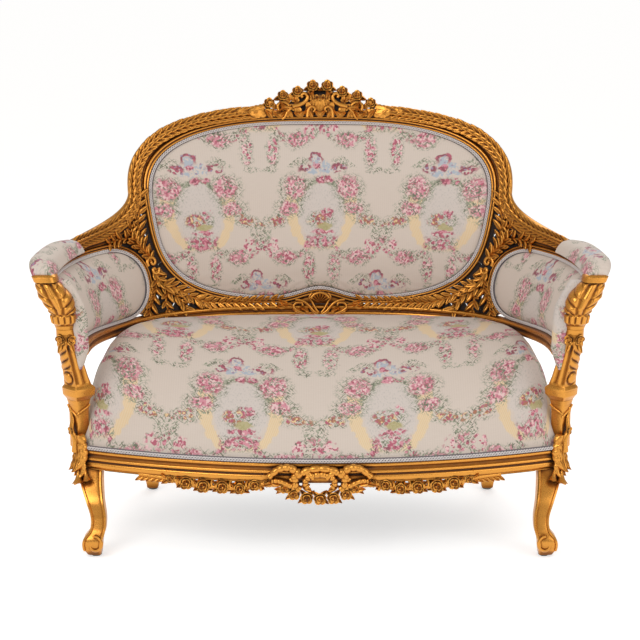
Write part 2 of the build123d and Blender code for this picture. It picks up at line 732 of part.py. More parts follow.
def ring_angles():
    """The oval's stations: even along its flat top and foot, and even by angle round its end."""
    flat = [oval_angle(run) for run in spread(0, OVAL_HALF_WIDTH * FLAT_SHARE, FLAT_STEPS)]
    end = spread(flat[-1], pi - flat[-1], END_STEPS)[1:-1]
    return flat + end + [pi - angle for angle in reversed(flat)]


with BuildPart() as back_ring:
    loft([band_section(oval(a), oval(a, RING_WIDTH), RING_PROFILE) for a in ring_angles()], ruled=True)
write_pair("back_ring", back_ring.part)

# Ring mouldings round the arm panels: along the top and round the rear end
RING_FOOT_ANGLE = 2.58
ARM_RING_STEPS = 14
with BuildPart() as arm_ring:
    edges = [(arm_end(a), arm_end(a, ARM_RING_WIDTH)) for a in spread(RING_FOOT_ANGLE, 0, ARM_RING_STEPS)]
    runs = spread(ARM_END_RUN, ARM_FRONT_RUN, ARM_STEPS)[1:]
    edges += [((run, ARM_TOP), (run, ARM_TOP + ARM_RING_WIDTH)) for run in runs]
    loft([band_section(inner, outer, RING_PROFILE) for inner, outer in edges], ruled=True)
write_pair("arm_ring", arm_ring.part)


# Top rails: along the oval to the shoulder, then sweeping out to the arm
def bend(start, lead, follow, finish, share):
    """A point of a cubic curve between two points of the surface, as run and height."""
    rest = 1 - share
    weights = (rest ** 3, 3 * rest ** 2 * share, 3 * rest * share ** 2, share ** 3)
    points = (start, lead, follow, finish)
    return tuple(sum(w * p[axis] for w, p in zip(weights, points)) for axis in (0, 1))


RAIL_GROW = RING_WIDTH + FIT
RAIL_END_LOW = ARM_TOP + ARM_RING_WIDTH + FIT
RAIL_END_HIGH = ARM_TOP + 42
CUSP_RUN = ARM_END_RUN + 13
CUSP_SHARE = 0.7
LOW_START = oval(SHOULDER_ANGLE, RAIL_GROW)
HIGH_START = oval(SHOULDER_ANGLE, RAIL_GROW + TOP_RAIL_WIDTH)


def rail_low(share):
    """The top rail's lower edge from the shoulder to the arm's ring, then along the ring."""
    if share > CUSP_SHARE:
        along = (share - CUSP_SHARE) / (1 - CUSP_SHARE)
        return CUSP_RUN + along * (ARM_RAIL_RUN - CUSP_RUN), RAIL_END_LOW
    lead = LOW_START[0] + 14, LOW_START[1] - 68
    follow = CUSP_RUN - 80, RAIL_END_LOW
    return bend(LOW_START, lead, follow, (CUSP_RUN, RAIL_END_LOW), share / CUSP_SHARE)


def rail_high(share):
    """The top rail's upper edge from the shoulder to the arm."""
    lead = HIGH_START[0] + 14, HIGH_START[1] - 48
    follow = ARM_RAIL_RUN - 110, RAIL_END_HIGH + 8
    return bend(HIGH_START, lead, follow, (ARM_RAIL_RUN, RAIL_END_HIGH), share)


TOP_PROFILE = (
    (0, FRAME_REAR),
    (0.7, FRAME_REAR),
    (1, 6),
    (1, -4),
    (0.72, -15),
    (0.4, -15),
    (0.22, -9),
    (0, -9),
)
OVAL_RAIL_STEPS = 12
SWEEP_STEPS = 10
with BuildPart() as top_rail:
    first = oval_angle(CREST_HALF_RUN + CLEAR, RAIL_GROW)
    angles = spread(first, SHOULDER_ANGLE, OVAL_RAIL_STEPS)[:-1]
    widths = spread(CREST_END_HEIGHT, TOP_RAIL_WIDTH, OVAL_RAIL_STEPS)
    edges = [(oval(a, RAIL_GROW), oval(a, RAIL_GROW + width)) for a, width in zip(angles, widths)]
    edges += [(rail_low(share), rail_high(share)) for share in spread(0, 1, SWEEP_STEPS)]
    loft([band_section(inner, outer, TOP_PROFILE) for inner, outer in edges], ruled=True)
write_pair("top_rail", top_rail.part)

# Arm rails: the wooden core under the arm pads, seated on the posts' caps
RAIL_CORE = (
    (0, -ARM_RAIL_THICKNESS / 2),
    (1, -ARM_RAIL_THICKNESS / 2),
    (1, ARM_RAIL_THICKNESS / 2),
    (0, ARM_RAIL_THICKNESS / 2),
)
CORE_NOSE = 28
with BuildPart() as arm_rail:
    runs = spread(ARM_RAIL_RUN + CLEAR, ARM_FRONT_RUN, ARM_STEPS)
    loft([band_section((run, ARM_CORE_BASE), (run, ARM_CORE_TOP), RAIL_CORE) for run in runs], ruled=True)
    runs = spread(ARM_FRONT_RUN, ARM_FRONT_RUN + CORE_NOSE, 1)
    loft([upright_section(run, POST_CAP, ARM_CORE_TOP, RAIL_CORE) for run in runs], ruled=True)
write_pair("arm_rail", arm_rail.part)


# Arm pads: a stuffed saddle over the arm rail that rolls down over the post's cap
def pad_profile(half, base=None, top=None):
    """The pad's section, open below round the arm rail where its base and top are given."""
    outer = [(0, -half + 4), (0.3, -half), (0.7, -half + 6), (1, -half + 20)]
    outer += [(share, -out) for share, out in reversed(outer)]
    if base is None:
        return outer
    core = ARM_RAIL_THICKNESS / 2 + FIT
    inner = (ARM_CORE_TOP + FIT - base) / (top - base)
    return outer + [(0, core), (inner, core), (inner, -core), (0, -core)]


def pad_section(run, base, top):
    """One section of the pad along the arm."""
    return band_section((run, base), (run, top), pad_profile(PAD_WIDTH / 2, base, top))


PAD_BASE = ARM_CORE_BASE + CLEAR
PAD_TOP = PAD_BASE + PAD_HEIGHT
PAD_NOSE_RUN = ARM_FRONT_RUN + CORE_NOSE + CLEAR
NOSE_BASE = POST_CAP + CLEAR
NOSE_END = 14
NOSE_FALL = 8


def nose_section(share):
    """One section of the pad's closed front end, drawn in and lowered to the front."""
    run = PAD_NOSE_RUN + NOSE_END * share
    top = PAD_TOP - NOSE_FALL * (1 + 2 * share ** 2)
    return upright_section(run, NOSE_BASE, top, pad_profile(PAD_WIDTH / 2 - NOSE_END * share ** 2))


with BuildPart() as arm_pad:
    runs = spread(ARM_RAIL_RUN + 2 * CLEAR, ARM_FRONT_RUN, ARM_STEPS)
    climbs = [min(share * 2, 1) for share in spread(0, 1, ARM_STEPS)]
    tops = [between(RAIL_END_HIGH, PAD_TOP, climb) for climb in climbs]
    loft([pad_section(run, PAD_BASE, top) for run, top in zip(runs, tops)], ruled=True)
    shapes = []
    for run, top in ((ARM_FRONT_RUN, PAD_TOP), (PAD_NOSE_RUN, PAD_TOP - NOSE_FALL)):
        shapes.append(upright_section(run, NOSE_BASE, top, pad_profile(PAD_WIDTH / 2, NOSE_BASE, top)))
    loft(shapes, ruled=True)
    loft([nose_section(share) for share in (0, 0.6, 1)], ruled=True)
write_pair("arm_pad", arm_pad.part)

# Arm cushions inside, their gimp, and the panels outside
ARM_SLICES = (0.012, 0.05, 0.12, 0.22, 0.35, 0.55, 0.75, 0.9, 1)
PANEL_START = ARM_END_RUN - ARM_END_HALF


def arm_slices(grow, profile):
    """The sections of a panel that fills the arm's ring, drawn in by grow."""
    runs = [PANEL_START - grow + share * (ARM_FRONT_RUN - PANEL_START + grow) for share in ARM_SLICES]
    spans = [arm_span(run, grow) for run in runs]
    return [band_section((run, low), (run, high), profile) for run, (low, high) in zip(runs, spans)]


GIMP_SET = GIMP_WIDTH + 2 * FIT


def crowned(crown, edge):
    """A cushion's section: drawn-in edges and a crown towards the sitter."""
    front = ((0, 0), (edge, 0.5), (0.2, 0.85), (0.5, 1), (0.8, 0.85), (1 - edge, 0.5), (1, 0))
    rim = 8
    return [(0, 3)] + [(share, -rim - (crown - rim) * rise) for share, rise in front] + [(1, 3)]


ARM_OUTER_PROFILE = (
    (0, 7),
    (1, 7),
    (1, 14),
    (0.85, 14 + ARM_OUTER_CROWN * 0.6),
    (0.5, 14 + ARM_OUTER_CROWN),
    (0.15, 14 + ARM_OUTER_CROWN * 0.6),
    (0, 14),
)
ARM_CUSHION_PROFILE = crowned(ARM_CROWN, 0.06)
BACK_CUSHION_PROFILE = crowned(BACK_CROWN, 0.05)
with BuildPart() as arm_cushion:
    loft(arm_slices(-GIMP_SET, ARM_CUSHION_PROFILE), ruled=True)
write_pair("arm_cushion", arm_cushion.part)

with BuildPart() as arm_outer:
    loft(arm_slices(-2 * FIT, ARM_OUTER_PROFILE), ruled=True)
write_pair("arm_outer", arm_outer.part)

GIMP_PROFILE = ((0, -7), (1, -7), (1, -7 - GIMP_THICKNESS), (0, -7 - GIMP_THICKNESS))
with BuildPart() as arm_gimp:
    runs = spread(ARM_END_RUN, ARM_FRONT_RUN, ARM_STEPS)[1:]
    below = BOTTOM_RAIL_TOP + GIMP_WIDTH, BOTTOM_RAIL_TOP + FIT
    above = ARM_TOP - GIMP_WIDTH, ARM_TOP - FIT
    edges = [((run, below[0]), (run, below[1])) for run in reversed(runs)]
    edges += [(arm_end(a, -GIMP_WIDTH), arm_end(a, -FIT)) for a in spread(pi, 0, ARM_RING_STEPS)]
    edges += [((run, above[0]), (run, above[1])) for run in runs]
    loft([band_section(inner, outer, GIMP_PROFILE) for inner, outer in edges], ruled=True)
write_pair("arm_gimp", arm_gimp.part)

# Back cushion, its gimp, the burlap behind it and the panel outside
PANEL_FIT = 1.15
BACK_SLICES = (0.1, 0.3, 0.5, 0.66, 0.8, 0.9, 0.96, 0.99, 0.9985)
BURLAP_PROFILE = ((0, 4), (0, 4 + SHEET), (1, 4 + SHEET), (1, 4))
BACK_OUTER_PROFILE = ((0, 9), (0, 13), (0.15, 17), (0.5, 19), (0.85, 17), (1, 13), (1, 9))


def back_slices(grow, profile):
    """The sections of a panel that fills the back's ring, drawn in by grow."""
    shares = [-share for share in reversed(BACK_SLICES)] + [0] + list(BACK_SLICES)
    runs = [share * (OVAL_HALF_WIDTH + grow) for share in shares]
    spans = [((run, oval_bottom(run, grow)), (run, oval_top(run, grow))) for run in runs]
    return [band_section(low, high, profile) for low, high in spans]


with BuildPart() as back_cushion:
    loft(back_slices(-GIMP_SET, BACK_CUSHION_PROFILE), ruled=True)
write("back_cushion", back_cushion.part)

with BuildPart() as back_burlap:
    loft(back_slices(-PANEL_FIT, BURLAP_PROFILE), ruled=True)
write("back_burlap", back_burlap.part)

with BuildPart() as back_outer:
    loft(back_slices(-PANEL_FIT, BACK_OUTER_PROFILE), ruled=True)
write("back_outer", back_outer.part)

with BuildPart() as back_gimp:
    edges = [(oval(a, -GIMP_WIDTH), oval(a, -FIT)) for a in ring_angles()]
    loft([band_section(inner, outer, GIMP_PROFILE) for inner, outer in edges], ruled=True)
    mirror(about=Plane.YZ)
write("back_gimp", back_gimp.part)


# Spandrels: pierced laurel carving between the oval, the top rail, the arm's ring and the bottom rail
SPANDREL_PROFILE = (
    (0, SPANDREL_THICKNESS / 2),
    (1, SPANDREL_THICKNESS / 2),
    (1, -SPANDREL_THICKNESS / 2),
    (0, -SPANDREL_THICKNESS / 2),
)
SPANDREL_FOOT_RUN = 190
SPANDREL_SLICES = 9
RING_OUTSIDE = ARM_RING_WIDTH + FIT
RING_REACH = ARM_END_RUN - ARM_END_HALF - RING_OUTSIDE
OVAL_REACH = OVAL_HALF_WIDTH + RAIL_GROW
WALL = 0.6


def rail_under(run):
    """The height of the top rail's lower edge at a run past the shoulder."""
    low, high = 0.0, CUSP_SHARE
    for halving in range(30):
        middle = (low + high) / 2
        if rail_low(middle)[0] < run:
            low = middle
        else:
            high = middle
    return rail_low(low)[1]


def spandrel_span(run):
    """The spandrel's lower and upper edge at a run."""
    if run < OVAL_REACH:
        return BOTTOM_RAIL_TOP + CLEAR, oval_bottom(run, RAIL_GROW)
    if run < RING_REACH:
        return BOTTOM_RAIL_TOP + CLEAR, rail_under(run + FIT) - FIT
    return arm_span(run, RING_OUTSIDE)[1], rail_under(run + FIT) - FIT


def foot_span(run):
    """The edges of the spandrel's toe, between the bottom rail and the arm's ring."""
    return BOTTOM_RAIL_TOP + CLEAR, arm_span(max(run, RING_REACH + WALL), RING_OUTSIDE)[0]


def slices(runs, span):
    """The upright sections of a spandrel at its runs."""
    return [band_section((run, span(run)[0]), (run, span(run)[1]), SPANDREL_PROFILE) for run in runs]


def leaf_plane(run, height, out=0.0):
    """A plane on the surface, facing the sitter, its X level."""
    normal = shell_normal(run, height)
    level = Vector(normal.Y, -normal.X, 0)
    return Plane(shell(run, height, out), x_dir=level, z_dir=normal * -1)


LEAF_LENGTH = 22
LEAF_WIDTH = 0.34
LEAF_ROW = 25
LEAF_LEAN = 50
LEAF_RUNS = spread(SPANDREL_FOOT_RUN + 80, CUSP_RUN - 60, 12)
LEAF_REACH = 150
NEAR_END = 2.4


def lozenge(half, wide):
    """The corners of a leaf-shaped opening, along X."""
    return [(-half, 0), (-half / 2, wide), (half / 4, wide), (half, 0), (half / 4, -wide), (-half / 2, -wide)]


def leaves(run):
    """The leaf-shaped openings at a run: middle height, length and lean of each."""
    low, high = spandrel_span(run)
    count = max(int((high - low) / LEAF_ROW), 1)
    pitch = (high - low) / count
    size = min(pitch * 0.72, LEAF_LENGTH)
    leans = [LEAF_LEAN if step % 2 else 180 - LEAF_LEAN for step in range(count)]
    return [(low + pitch * (step + 0.5), size, lean) for step, lean in enumerate(leans)]


def closing(start, finish, steps):
    """Values from start to finish that draw closer together towards the finish."""
    return [finish - (finish - start) * (1 - share) ** NEAR_END for share in spread(0, 1, steps)]


with BuildPart() as spandrel:
    below = closing(SPANDREL_FOOT_RUN, OVAL_REACH - WALL / 4, SPANDREL_SLICES)
    beside = closing(RING_REACH - WALL, OVAL_REACH + WALL, 4)[::-1]
    above = closing(CUSP_RUN - 12, RING_REACH + WALL, SPANDREL_SLICES)[::-1]
    loft(slices(below + beside + above, spandrel_span), ruled=True)
    toe = [RING_REACH - 8] + closing(RING_REACH + 52, RING_REACH + WALL, 6)[::-1]
    loft(slices(toe, foot_span), ruled=True)
    for run in LEAF_RUNS:
        plane = leaf_plane(run, BOTTOM_RAIL_TOP)
        with BuildSketch(plane):
            for height, size, lean in leaves(run):
                middle = plane.to_local_coords(shell(run, height))
                with Locations((middle.X, middle.Y)):
                    Polygon(*lozenge(size / 2, size * LEAF_WIDTH / 2), rotation=lean, align=None)
        extrude(amount=LEAF_REACH, both=True, mode=Mode.SUBTRACT)
write_pair("spandrel", spandrel.part)

# Crest: a scalloped arch of carving with roses that step down to each side
CREST_RISE = CREST_TOP - (OVAL_HEIGHT + OVAL_HALF_HEIGHT + RAIL_GROW)
CREST_LOBE = 33
CREST_LOBE_DEPTH = 7
CREST_STEPS = 40
HALF_CREST = CREST_THICKNESS / 2
CREST_EDGE = 6
CREST_PROFILE = (
    (0, HALF_CREST),
    (1, HALF_CREST),
    (1, CREST_EDGE - HALF_CREST),
    (0.85, -HALF_CREST),
    (0, -HALF_CREST),
)
ROSES = ((15, 8), (47, 18), (82, 32), (115, 47), (146, 60))
CREST_HOLES = ((24, 24, 30), (58, 20, 20), (92, 12, 10))
ROSE_SIDES = 8
ROSE_HEIGHT = 11
ROSE_TAPER = 22
ROSE_SUNK = 2
BUD_SHARE = 0.35


def crest_height(run):
    """The crest's height above the oval's ring at a run."""
    arch = between(CREST_END_HEIGHT, CREST_RISE, exp(-((run / CREST_SPREAD) ** 2)))
    lobe = abs(sin(pi * (abs(run) + CREST_LOBE / 2) / CREST_LOBE))
    return arch - CREST_LOBE_DEPTH * (1 - lobe) * min(1, (CREST_HALF_RUN - abs(run)) / CREST_LOBE)


def rose_outline(plane, radius):
    """The eight-sided outline of a rose's cup or bud."""
    with BuildSketch(plane) as outline:
        RegularPolygon(radius, ROSE_SIDES)
    return outline.sketch


with BuildPart() as crest:
    shapes = []
    for run in spread(-CREST_HALF_RUN, CREST_HALF_RUN, CREST_STEPS):
        angle = oval_angle(run, RAIL_GROW)
        shapes.append(band_section(
            oval(angle, RAIL_GROW), oval(angle, RAIL_GROW + crest_height(run)), CREST_PROFILE))
    loft(shapes, ruled=True)
    for run, drop in ROSES:
        for side in (1, -1):
            seat = leaf_plane(side * run, CREST_TOP - ROSE_RADIUS - drop, ROSE_SUNK - HALF_CREST)
            extrude(rose_outline(seat, ROSE_RADIUS), amount=ROSE_HEIGHT, taper=ROSE_TAPER)
            bud = rose_outline(seat.offset(ROSE_HEIGHT), ROSE_RADIUS * BUD_SHARE)
            extrude(bud, amount=ROSE_HEIGHT * BUD_SHARE)
    for run, rise, turn in CREST_HOLES:
        height = OVAL_HEIGHT + OVAL_HALF_HEIGHT + RAIL_GROW + rise
        for side in (1, -1):
            with BuildSketch(leaf_plane(side * run, height)):
                Polygon(*lozenge(9, 4), rotation=side * turn, align=None)
            extrude(amount=CREST_THICKNESS, both=True, mode=Mode.SUBTRACT)
write("crest", crest.part)

# Shell carving at the foot of the oval: a fluted fan before a pierced filling
FAN_RADIUS = 34
FAN_FLUTES = 7
FAN_FRONT = -31
FAN_SEAT = -20.5
FAN_FOOT = BOTTOM_RAIL_TOP - 8
FAN_NECK = 9
with BuildPart() as shell_carving:
    runs = spread(-SHELL_CARVING_HALF, SHELL_CARVING_HALF, 12)
    low = BOTTOM_RAIL_TOP + FIT
    shapes = [((run, low), (run, oval_bottom(run, RAIL_GROW) - FIT)) for run in runs]
    loft([band_section(inner, outer, SPANDREL_PROFILE) for inner, outer in shapes], ruled=True)
    with BuildSketch(leaf_plane(0, FAN_FOOT, FAN_SEAT)):
        with BuildLine():
            tips = spread(0.12 * pi, 0.88 * pi, FAN_FLUTES)
            corners = [Vector(FAN_RADIUS * cos(a), FAN_RADIUS * sin(a)) for a in tips]
            for near, far in zip(corners, corners[1:]):
                ThreePointArc(near, (near + far) * 0.54, far)
            Polyline(corners[-1], (-FAN_RADIUS / 2, 0), (FAN_RADIUS / 2, 0), corners[0])
        make_face()
    extrude(amount=FAN_SEAT - FAN_FRONT)
    with BuildSketch(leaf_plane(0, BOTTOM_RAIL_TOP + FAN_NECK + FIT)):
        Rectangle(FAN_RADIUS, FAN_NECK)
    extrude(amount=FAN_NECK - FAN_SEAT)
write("shell_carving", shell_carving.part)

# Knee carvings: leaf drops with trumpet flowers on the outer side of the leg and post
KNEE_X = FRONT_LEG_X + FRONT_LEG_BLOCK / 2 + CLEAR
KNEE_STATIONS = (
    (57, 0, 5, 16),
    (27, 0, 14, 30),
    (-9, 0, 22, 40),
    (-40, 4, 18, 38),
    (-48, 7, 15, 34),
    (-65, 7, 9, 24),
)
KNEE_FLOWER = 10
KNEE_FLOWER_LENGTH = 20
KNEE_FLOWER_DROP = 59
with BuildPart() as knee_carving:
    for rise, away, wide, deep in KNEE_STATIONS:
        with BuildSketch(floor_plane(SEAT_RAIL_TOP + rise)):
            with Locations((KNEE_X + away + wide / 2, FRONT_LEG_Y)):
                Rectangle(wide, deep)
    loft(ruled=True)
    for ahead in (-KNEE_FLOWER, KNEE_FLOWER):
        root = KNEE_X + KNEE_FLOWER + 3, FEET_LINE + FRONT_LEG_Y + ahead, SEAT_RAIL_TOP - KNEE_FLOWER_DROP
        seat = Plane(root, z_dir=(0.5, ahead / 30, -1))
        throat = rose_outline(seat, KNEE_FLOWER * 0.6)
        mouth = rose_outline(seat.offset(KNEE_FLOWER_LENGTH), KNEE_FLOWER * 1.1)
        loft([throat, mouth], ruled=True)
write_pair("knee_carving", knee_carving.part)

# Apron: a ribboned wreath in the middle of the rail and a garland of roses to each side
WREATH_HEIGHT = RAIL_BOTTOM - 5
WREATH_HOLE = 24
WREATH_BACK = front_bow(0) - CLEAR
WREATH_ROSES = 5
WREATH_ROSE_REACH = 56, 34
front_plane = Plane((0, FEET_LINE + WREATH_BACK, WREATH_HEIGHT), x_dir=(1, 0, 0), z_dir=(0, -1, 0))
with BuildPart() as apron_wreath:
    with BuildSketch(front_plane):
        Ellipse(WREATH_HALF_WIDTH, WREATH_HALF_HEIGHT * 0.62)
        Ellipse(WREATH_HALF_WIDTH * 0.6, WREATH_HALF_HEIGHT)
        with Locations((0, -WREATH_HALF_HEIGHT * 0.2)):
            Ellipse(WREATH_HOLE, WREATH_HOLE * 0.6, mode=Mode.SUBTRACT)
    extrude(amount=WREATH_THICKNESS - ROSE_HEIGHT / 2)
    for step in range(WREATH_ROSES):
        angle = pi * (1.15 + 0.7 * step / (WREATH_ROSES - 1))
        with BuildSketch(front_plane.offset(WREATH_THICKNESS - ROSE_HEIGHT / 2)):
            with Locations((WREATH_ROSE_REACH[0] * cos(angle), WREATH_ROSE_REACH[1] * sin(angle))):
                RegularPolygon(ROSE_RADIUS * 0.75, ROSE_SIDES)
        extrude(amount=ROSE_HEIGHT / 2, taper=20)
write("apron_wreath", apron_wreath.part)

GARLAND_SET = 1.5
GARLAND_THICKNESS = 10
GARLAND_STEPS = 12
GARLAND_ROSES = 6
GARLAND_ROSE = ROSE_RADIUS - 2
with BuildPart() as apron_garland:
    for x in spread(GARLAND_START, GARLAND_END, GARLAND_STEPS):
        drop = GARLAND_DROP * (0.7 + 0.3 * sin(pi * (x - GARLAND_START) / (GARLAND_END - GARLAND_START)))
        middle = front_bow(x) + GARLAND_SET + GARLAND_THICKNESS / 2
        with BuildSketch(Plane((x, FEET_LINE + middle, RAIL_BOTTOM), x_dir=(0, 1, 0), z_dir=(1, 0, 0))):
            with Locations((0, -drop / 2)):
                Rectangle(GARLAND_THICKNESS, drop)
    loft(ruled=True)
    pitch = (GARLAND_END - GARLAND_START) / GARLAND_ROSES
    for step in range(GARLAND_ROSES):
        x = GARLAND_START + pitch * (step + 0.5)
        face = Plane((x, FEET_LINE + front_bow(x) + GARLAND_SET + 1, RAIL_BOTTOM - GARLAND_DROP / 2),
                     x_dir=(1, 0, 0), z_dir=(0, -1, 0))
        extrude(rose_outline(face, GARLAND_ROSE), amount=ROSE_HEIGHT, taper=ROSE_TAPER)
        bud = rose_outline(face.offset(ROSE_HEIGHT), GARLAND_ROSE * BUD_SHARE)
        extrude(bud, amount=ROSE_HEIGHT * BUD_SHARE)
        if step:
            with BuildSketch(face):
                with Locations((-pitch / 2, 3)):
                    Polygon(*lozenge(pitch * 0.3, 6), align=None)
            extrude(amount=GARLAND_THICKNESS * 3, both=True, mode=Mode.SUBTRACT)
write_pair("apron_garland", apron_garland.part)
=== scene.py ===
"""Looks of a carved and gilded two-seat settee with medallion brocade.

Lengths are metres. X runs to the sitter's left, Y to the back, Z up. The back and the arms lie on one
curved surface: a place on it is a run from the back's middle, a height, and a distance outwards.
"""

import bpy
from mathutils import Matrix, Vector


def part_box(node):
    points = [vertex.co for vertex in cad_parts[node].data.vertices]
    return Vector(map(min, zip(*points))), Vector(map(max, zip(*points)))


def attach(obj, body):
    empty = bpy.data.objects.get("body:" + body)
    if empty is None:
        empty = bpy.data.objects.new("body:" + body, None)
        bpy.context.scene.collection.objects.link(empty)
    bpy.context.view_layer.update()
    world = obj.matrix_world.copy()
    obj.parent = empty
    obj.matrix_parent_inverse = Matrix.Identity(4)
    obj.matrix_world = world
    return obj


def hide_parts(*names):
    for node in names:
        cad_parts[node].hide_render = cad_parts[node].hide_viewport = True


bl_info = {
    "name": "Gilt settee",
    "version": (1, 0, 0),
    "blender": (4, 5, 0),
    "location": "View3D > Sidebar > Settee",
    "description": "Builds the carving, the upholstery and the stage of a gilt settee around its frame",
    "category": "Add Mesh",
}

from math import cos, pi, radians, sin

import bmesh
import bpy
import numpy as np

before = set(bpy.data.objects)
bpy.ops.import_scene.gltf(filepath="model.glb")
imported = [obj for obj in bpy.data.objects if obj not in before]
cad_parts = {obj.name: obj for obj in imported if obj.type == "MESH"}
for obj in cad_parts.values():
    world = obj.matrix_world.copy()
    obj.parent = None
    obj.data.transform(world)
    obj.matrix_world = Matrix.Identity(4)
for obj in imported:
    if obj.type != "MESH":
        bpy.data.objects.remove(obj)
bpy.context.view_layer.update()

# Sizes shared with the frame
GLIDE_RADIUS = 0.013
FEET_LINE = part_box("foot_glides")[0][1] + GLIDE_RADIUS
SEAT_RAIL_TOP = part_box("front_rail")[1][2]
RAIL_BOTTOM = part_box("front_rail")[0][2]
FRONT_RAIL_LEAD = 0.057
FRONT_BOW = 0.095
REAR_BOW = 0.055
RAIL_DEPTH = 0.04
FRONT_LEG_BLOCK = 0.056
FRONT_LEG_X = 0.546
FRONT_LEG_Y = 0.048
FRONT_FOOT_X = 0.531
REAR_LEG_X = 0.445
REAR_LEG_Y = 0.456
REAR_LEG_BLOCK = 0.044
SIDE_RAIL_THICKNESS = 0.034
BOTTOM_RAIL_TOP = 0.478
BOTTOM_RAIL_HEIGHT = 0.028
SHELL_HALF_WIDTH = 0.56
SHELL_BACK = 0.587
ARM_FRONT = 0.06
ARM_FLARE = 0.4
BACK_RAKE = 0.2
SHELL_SQUARENESS = 2.8
MEASURE_HEIGHT = 0.6
OVAL_HALF_WIDTH = 0.436
OVAL_HALF_HEIGHT = 0.232
OVAL_SQUARENESS = 3.0
RING_WIDTH = 0.013
KIDNEY_RISE = 0.027
KIDNEY_SPREAD = 0.075
CREST_TOP = 1.06
CREST_HALF_RUN = 0.172
CREST_END_HEIGHT = 0.02
CREST_SPREAD = 0.088
TOP_RAIL_WIDTH = 0.032
SHOULDER_ANGLE = 1.47
ARM_RAIL_RUN = 0.7
ARM_TOP = 0.658
ARM_END_RUN = 0.602
ARM_END_HALF = 0.118
ARM_RING_WIDTH = 0.011
SEAT_HALF_FRONT = 0.534
SEAT_HALF_REAR = 0.412
COVER_HALF_FRONT = 0.571
RAIL_HALF = 0.556
SEAT_CROWN = 0.486
SEAT_PEAK = 0.9
DOME_SIDE = 18
SIDE_SWELL = 3
DOME_FRONT = 2.3
SEAT_INSET = 0.006
GIMP_INSET = -0.001
FRONT_RADIUS = (SEAT_HALF_FRONT ** 2 + FRONT_BOW ** 2) / (2 * FRONT_BOW)
BOTTOM_RAIL_BASE = BOTTOM_RAIL_TOP - BOTTOM_RAIL_HEIGHT
HAIRLINE = 0.0003
JOINT_GAP = 0.001
OVAL_HEIGHT = BOTTOM_RAIL_TOP + HAIRLINE + RING_WIDTH + OVAL_HALF_HEIGHT
RAIL_GROW = RING_WIDTH + JOINT_GAP
RAIL_END_LOW = ARM_TOP + ARM_RING_WIDTH + JOINT_GAP
RAIL_END_HIGH = ARM_TOP + 0.042
CUSP_RUN = ARM_END_RUN + 0.013
CUSP_SHARE = 0.7
SILL_START = 0.6
SILL_RISE = 0.022
UP = np.array([0.0, 0.0, 1.0])
MIRROR = np.array([-1, 1, 1])

# The camera stands before the feet line, level with a tall viewer's chest
CAMERA_AHEAD = 3.521
CAMERA_HEIGHT = 1.404
CAMERA_PITCH = radians(76.71)
CAMERA_LENS = 88.74

# Motif of the brocade: its repeat across, and the distance from row to row
REPEAT = 0.3225
ROW = 0.304
ROW_EDGE = 0.117


def linear(code):
    """A colour written as six hexadecimal digits, as scene values."""
    parts = [int(code[k:k + 2], 16) / 255 for k in (0, 2, 4)]
    return [part / 12.92 if part <= 0.04045 else ((part + 0.055) / 1.055) ** 2.4 for part in parts]


def unit(vectors):
    """Vectors of length one."""
    return vectors / np.linalg.norm(vectors, axis=-1, keepdims=True)


def signed_power(value, exponent):
    """A signed power, for the squared-off ovals."""
    return np.sign(value) * np.abs(value) ** exponent


def ease(share):
    """A soft step from 0 to 1."""
    return share * share * (3 - 2 * share)


def joined(*axes):
    """Coordinates joined to points."""
    return np.stack(np.broadcast_arrays(*axes), axis=-1)


def distances(points):
    """How far along a line of points each of them lies."""
    return np.concatenate([[0], np.cumsum(np.linalg.norm(np.diff(points, axis=0), axis=1))])


def shell_at(angle, height):
    """Points of the curved surface by plan angle from the back's middle and height."""
    rise = height - BOTTOM_RAIL_TOP
    half = SHELL_HALF_WIDTH + ARM_FLARE * rise * np.abs(np.sin(angle))
    deep = SHELL_BACK + BACK_RAKE * rise - ARM_FRONT
    x = half * signed_power(np.sin(angle), 2 / SHELL_SQUARENESS)
    y = FEET_LINE + ARM_FRONT + deep * signed_power(np.cos(angle), 2 / SHELL_SQUARENESS)
    return joined(x, y, height)


PLAN_SHARES = np.linspace(0, 1, 2001)
PLAN_EASE = PLAN_SHARES ** 1.4 / (PLAN_SHARES ** 1.4 + (1 - PLAN_SHARES) ** 1.4)
PLAN_ANGLES = PLAN_EASE * pi / 2
PLAN_RUNS = distances(shell_at(PLAN_ANGLES, MEASURE_HEIGHT))
ARM_FRONT_RUN = PLAN_RUNS[-1]


def plan_angle(run):
    """The plan angle at a distance along the surface from the back's middle."""
    return np.sign(run) * np.interp(np.abs(run), PLAN_RUNS, PLAN_ANGLES)


def shell_normal(run, height):
    """The outward direction of the curved surface, level in the plan."""
    middle = np.clip(run, -ARM_FRONT_RUN + 0.003, ARM_FRONT_RUN - 0.003)
    along = shell_at(plan_angle(middle + 0.002), height) - shell_at(plan_angle(middle - 0.002), height)
    return unit(joined(-along[..., 1], along[..., 0], 0.0))


def shell(run, height, out=0.0):
    """Points of the curved surface, moved outwards. Past the arm's front it runs straight on."""
    run, height, out = np.broadcast_arrays(np.asarray(run, float), height, out)
    ahead = np.maximum(np.abs(run) - ARM_FRONT_RUN, 0)
    place = shell_at(plan_angle(np.clip(run, -ARM_FRONT_RUN, ARM_FRONT_RUN)), height)
    place[..., 1] -= ahead
    return place + shell_normal(run, height) * out[..., None]


def shell_axes(run, height):
    """The directions along the run, up the surface, and towards the sitter."""
    step = 0.002
    run, height = np.asarray(run, float), np.asarray(height, float)
    along = unit(shell(run + step, height) - shell(run - step, height))
    up = unit(shell(run, height + step) - shell(run, height - step))
    return along, up, unit(np.cross(along, up))


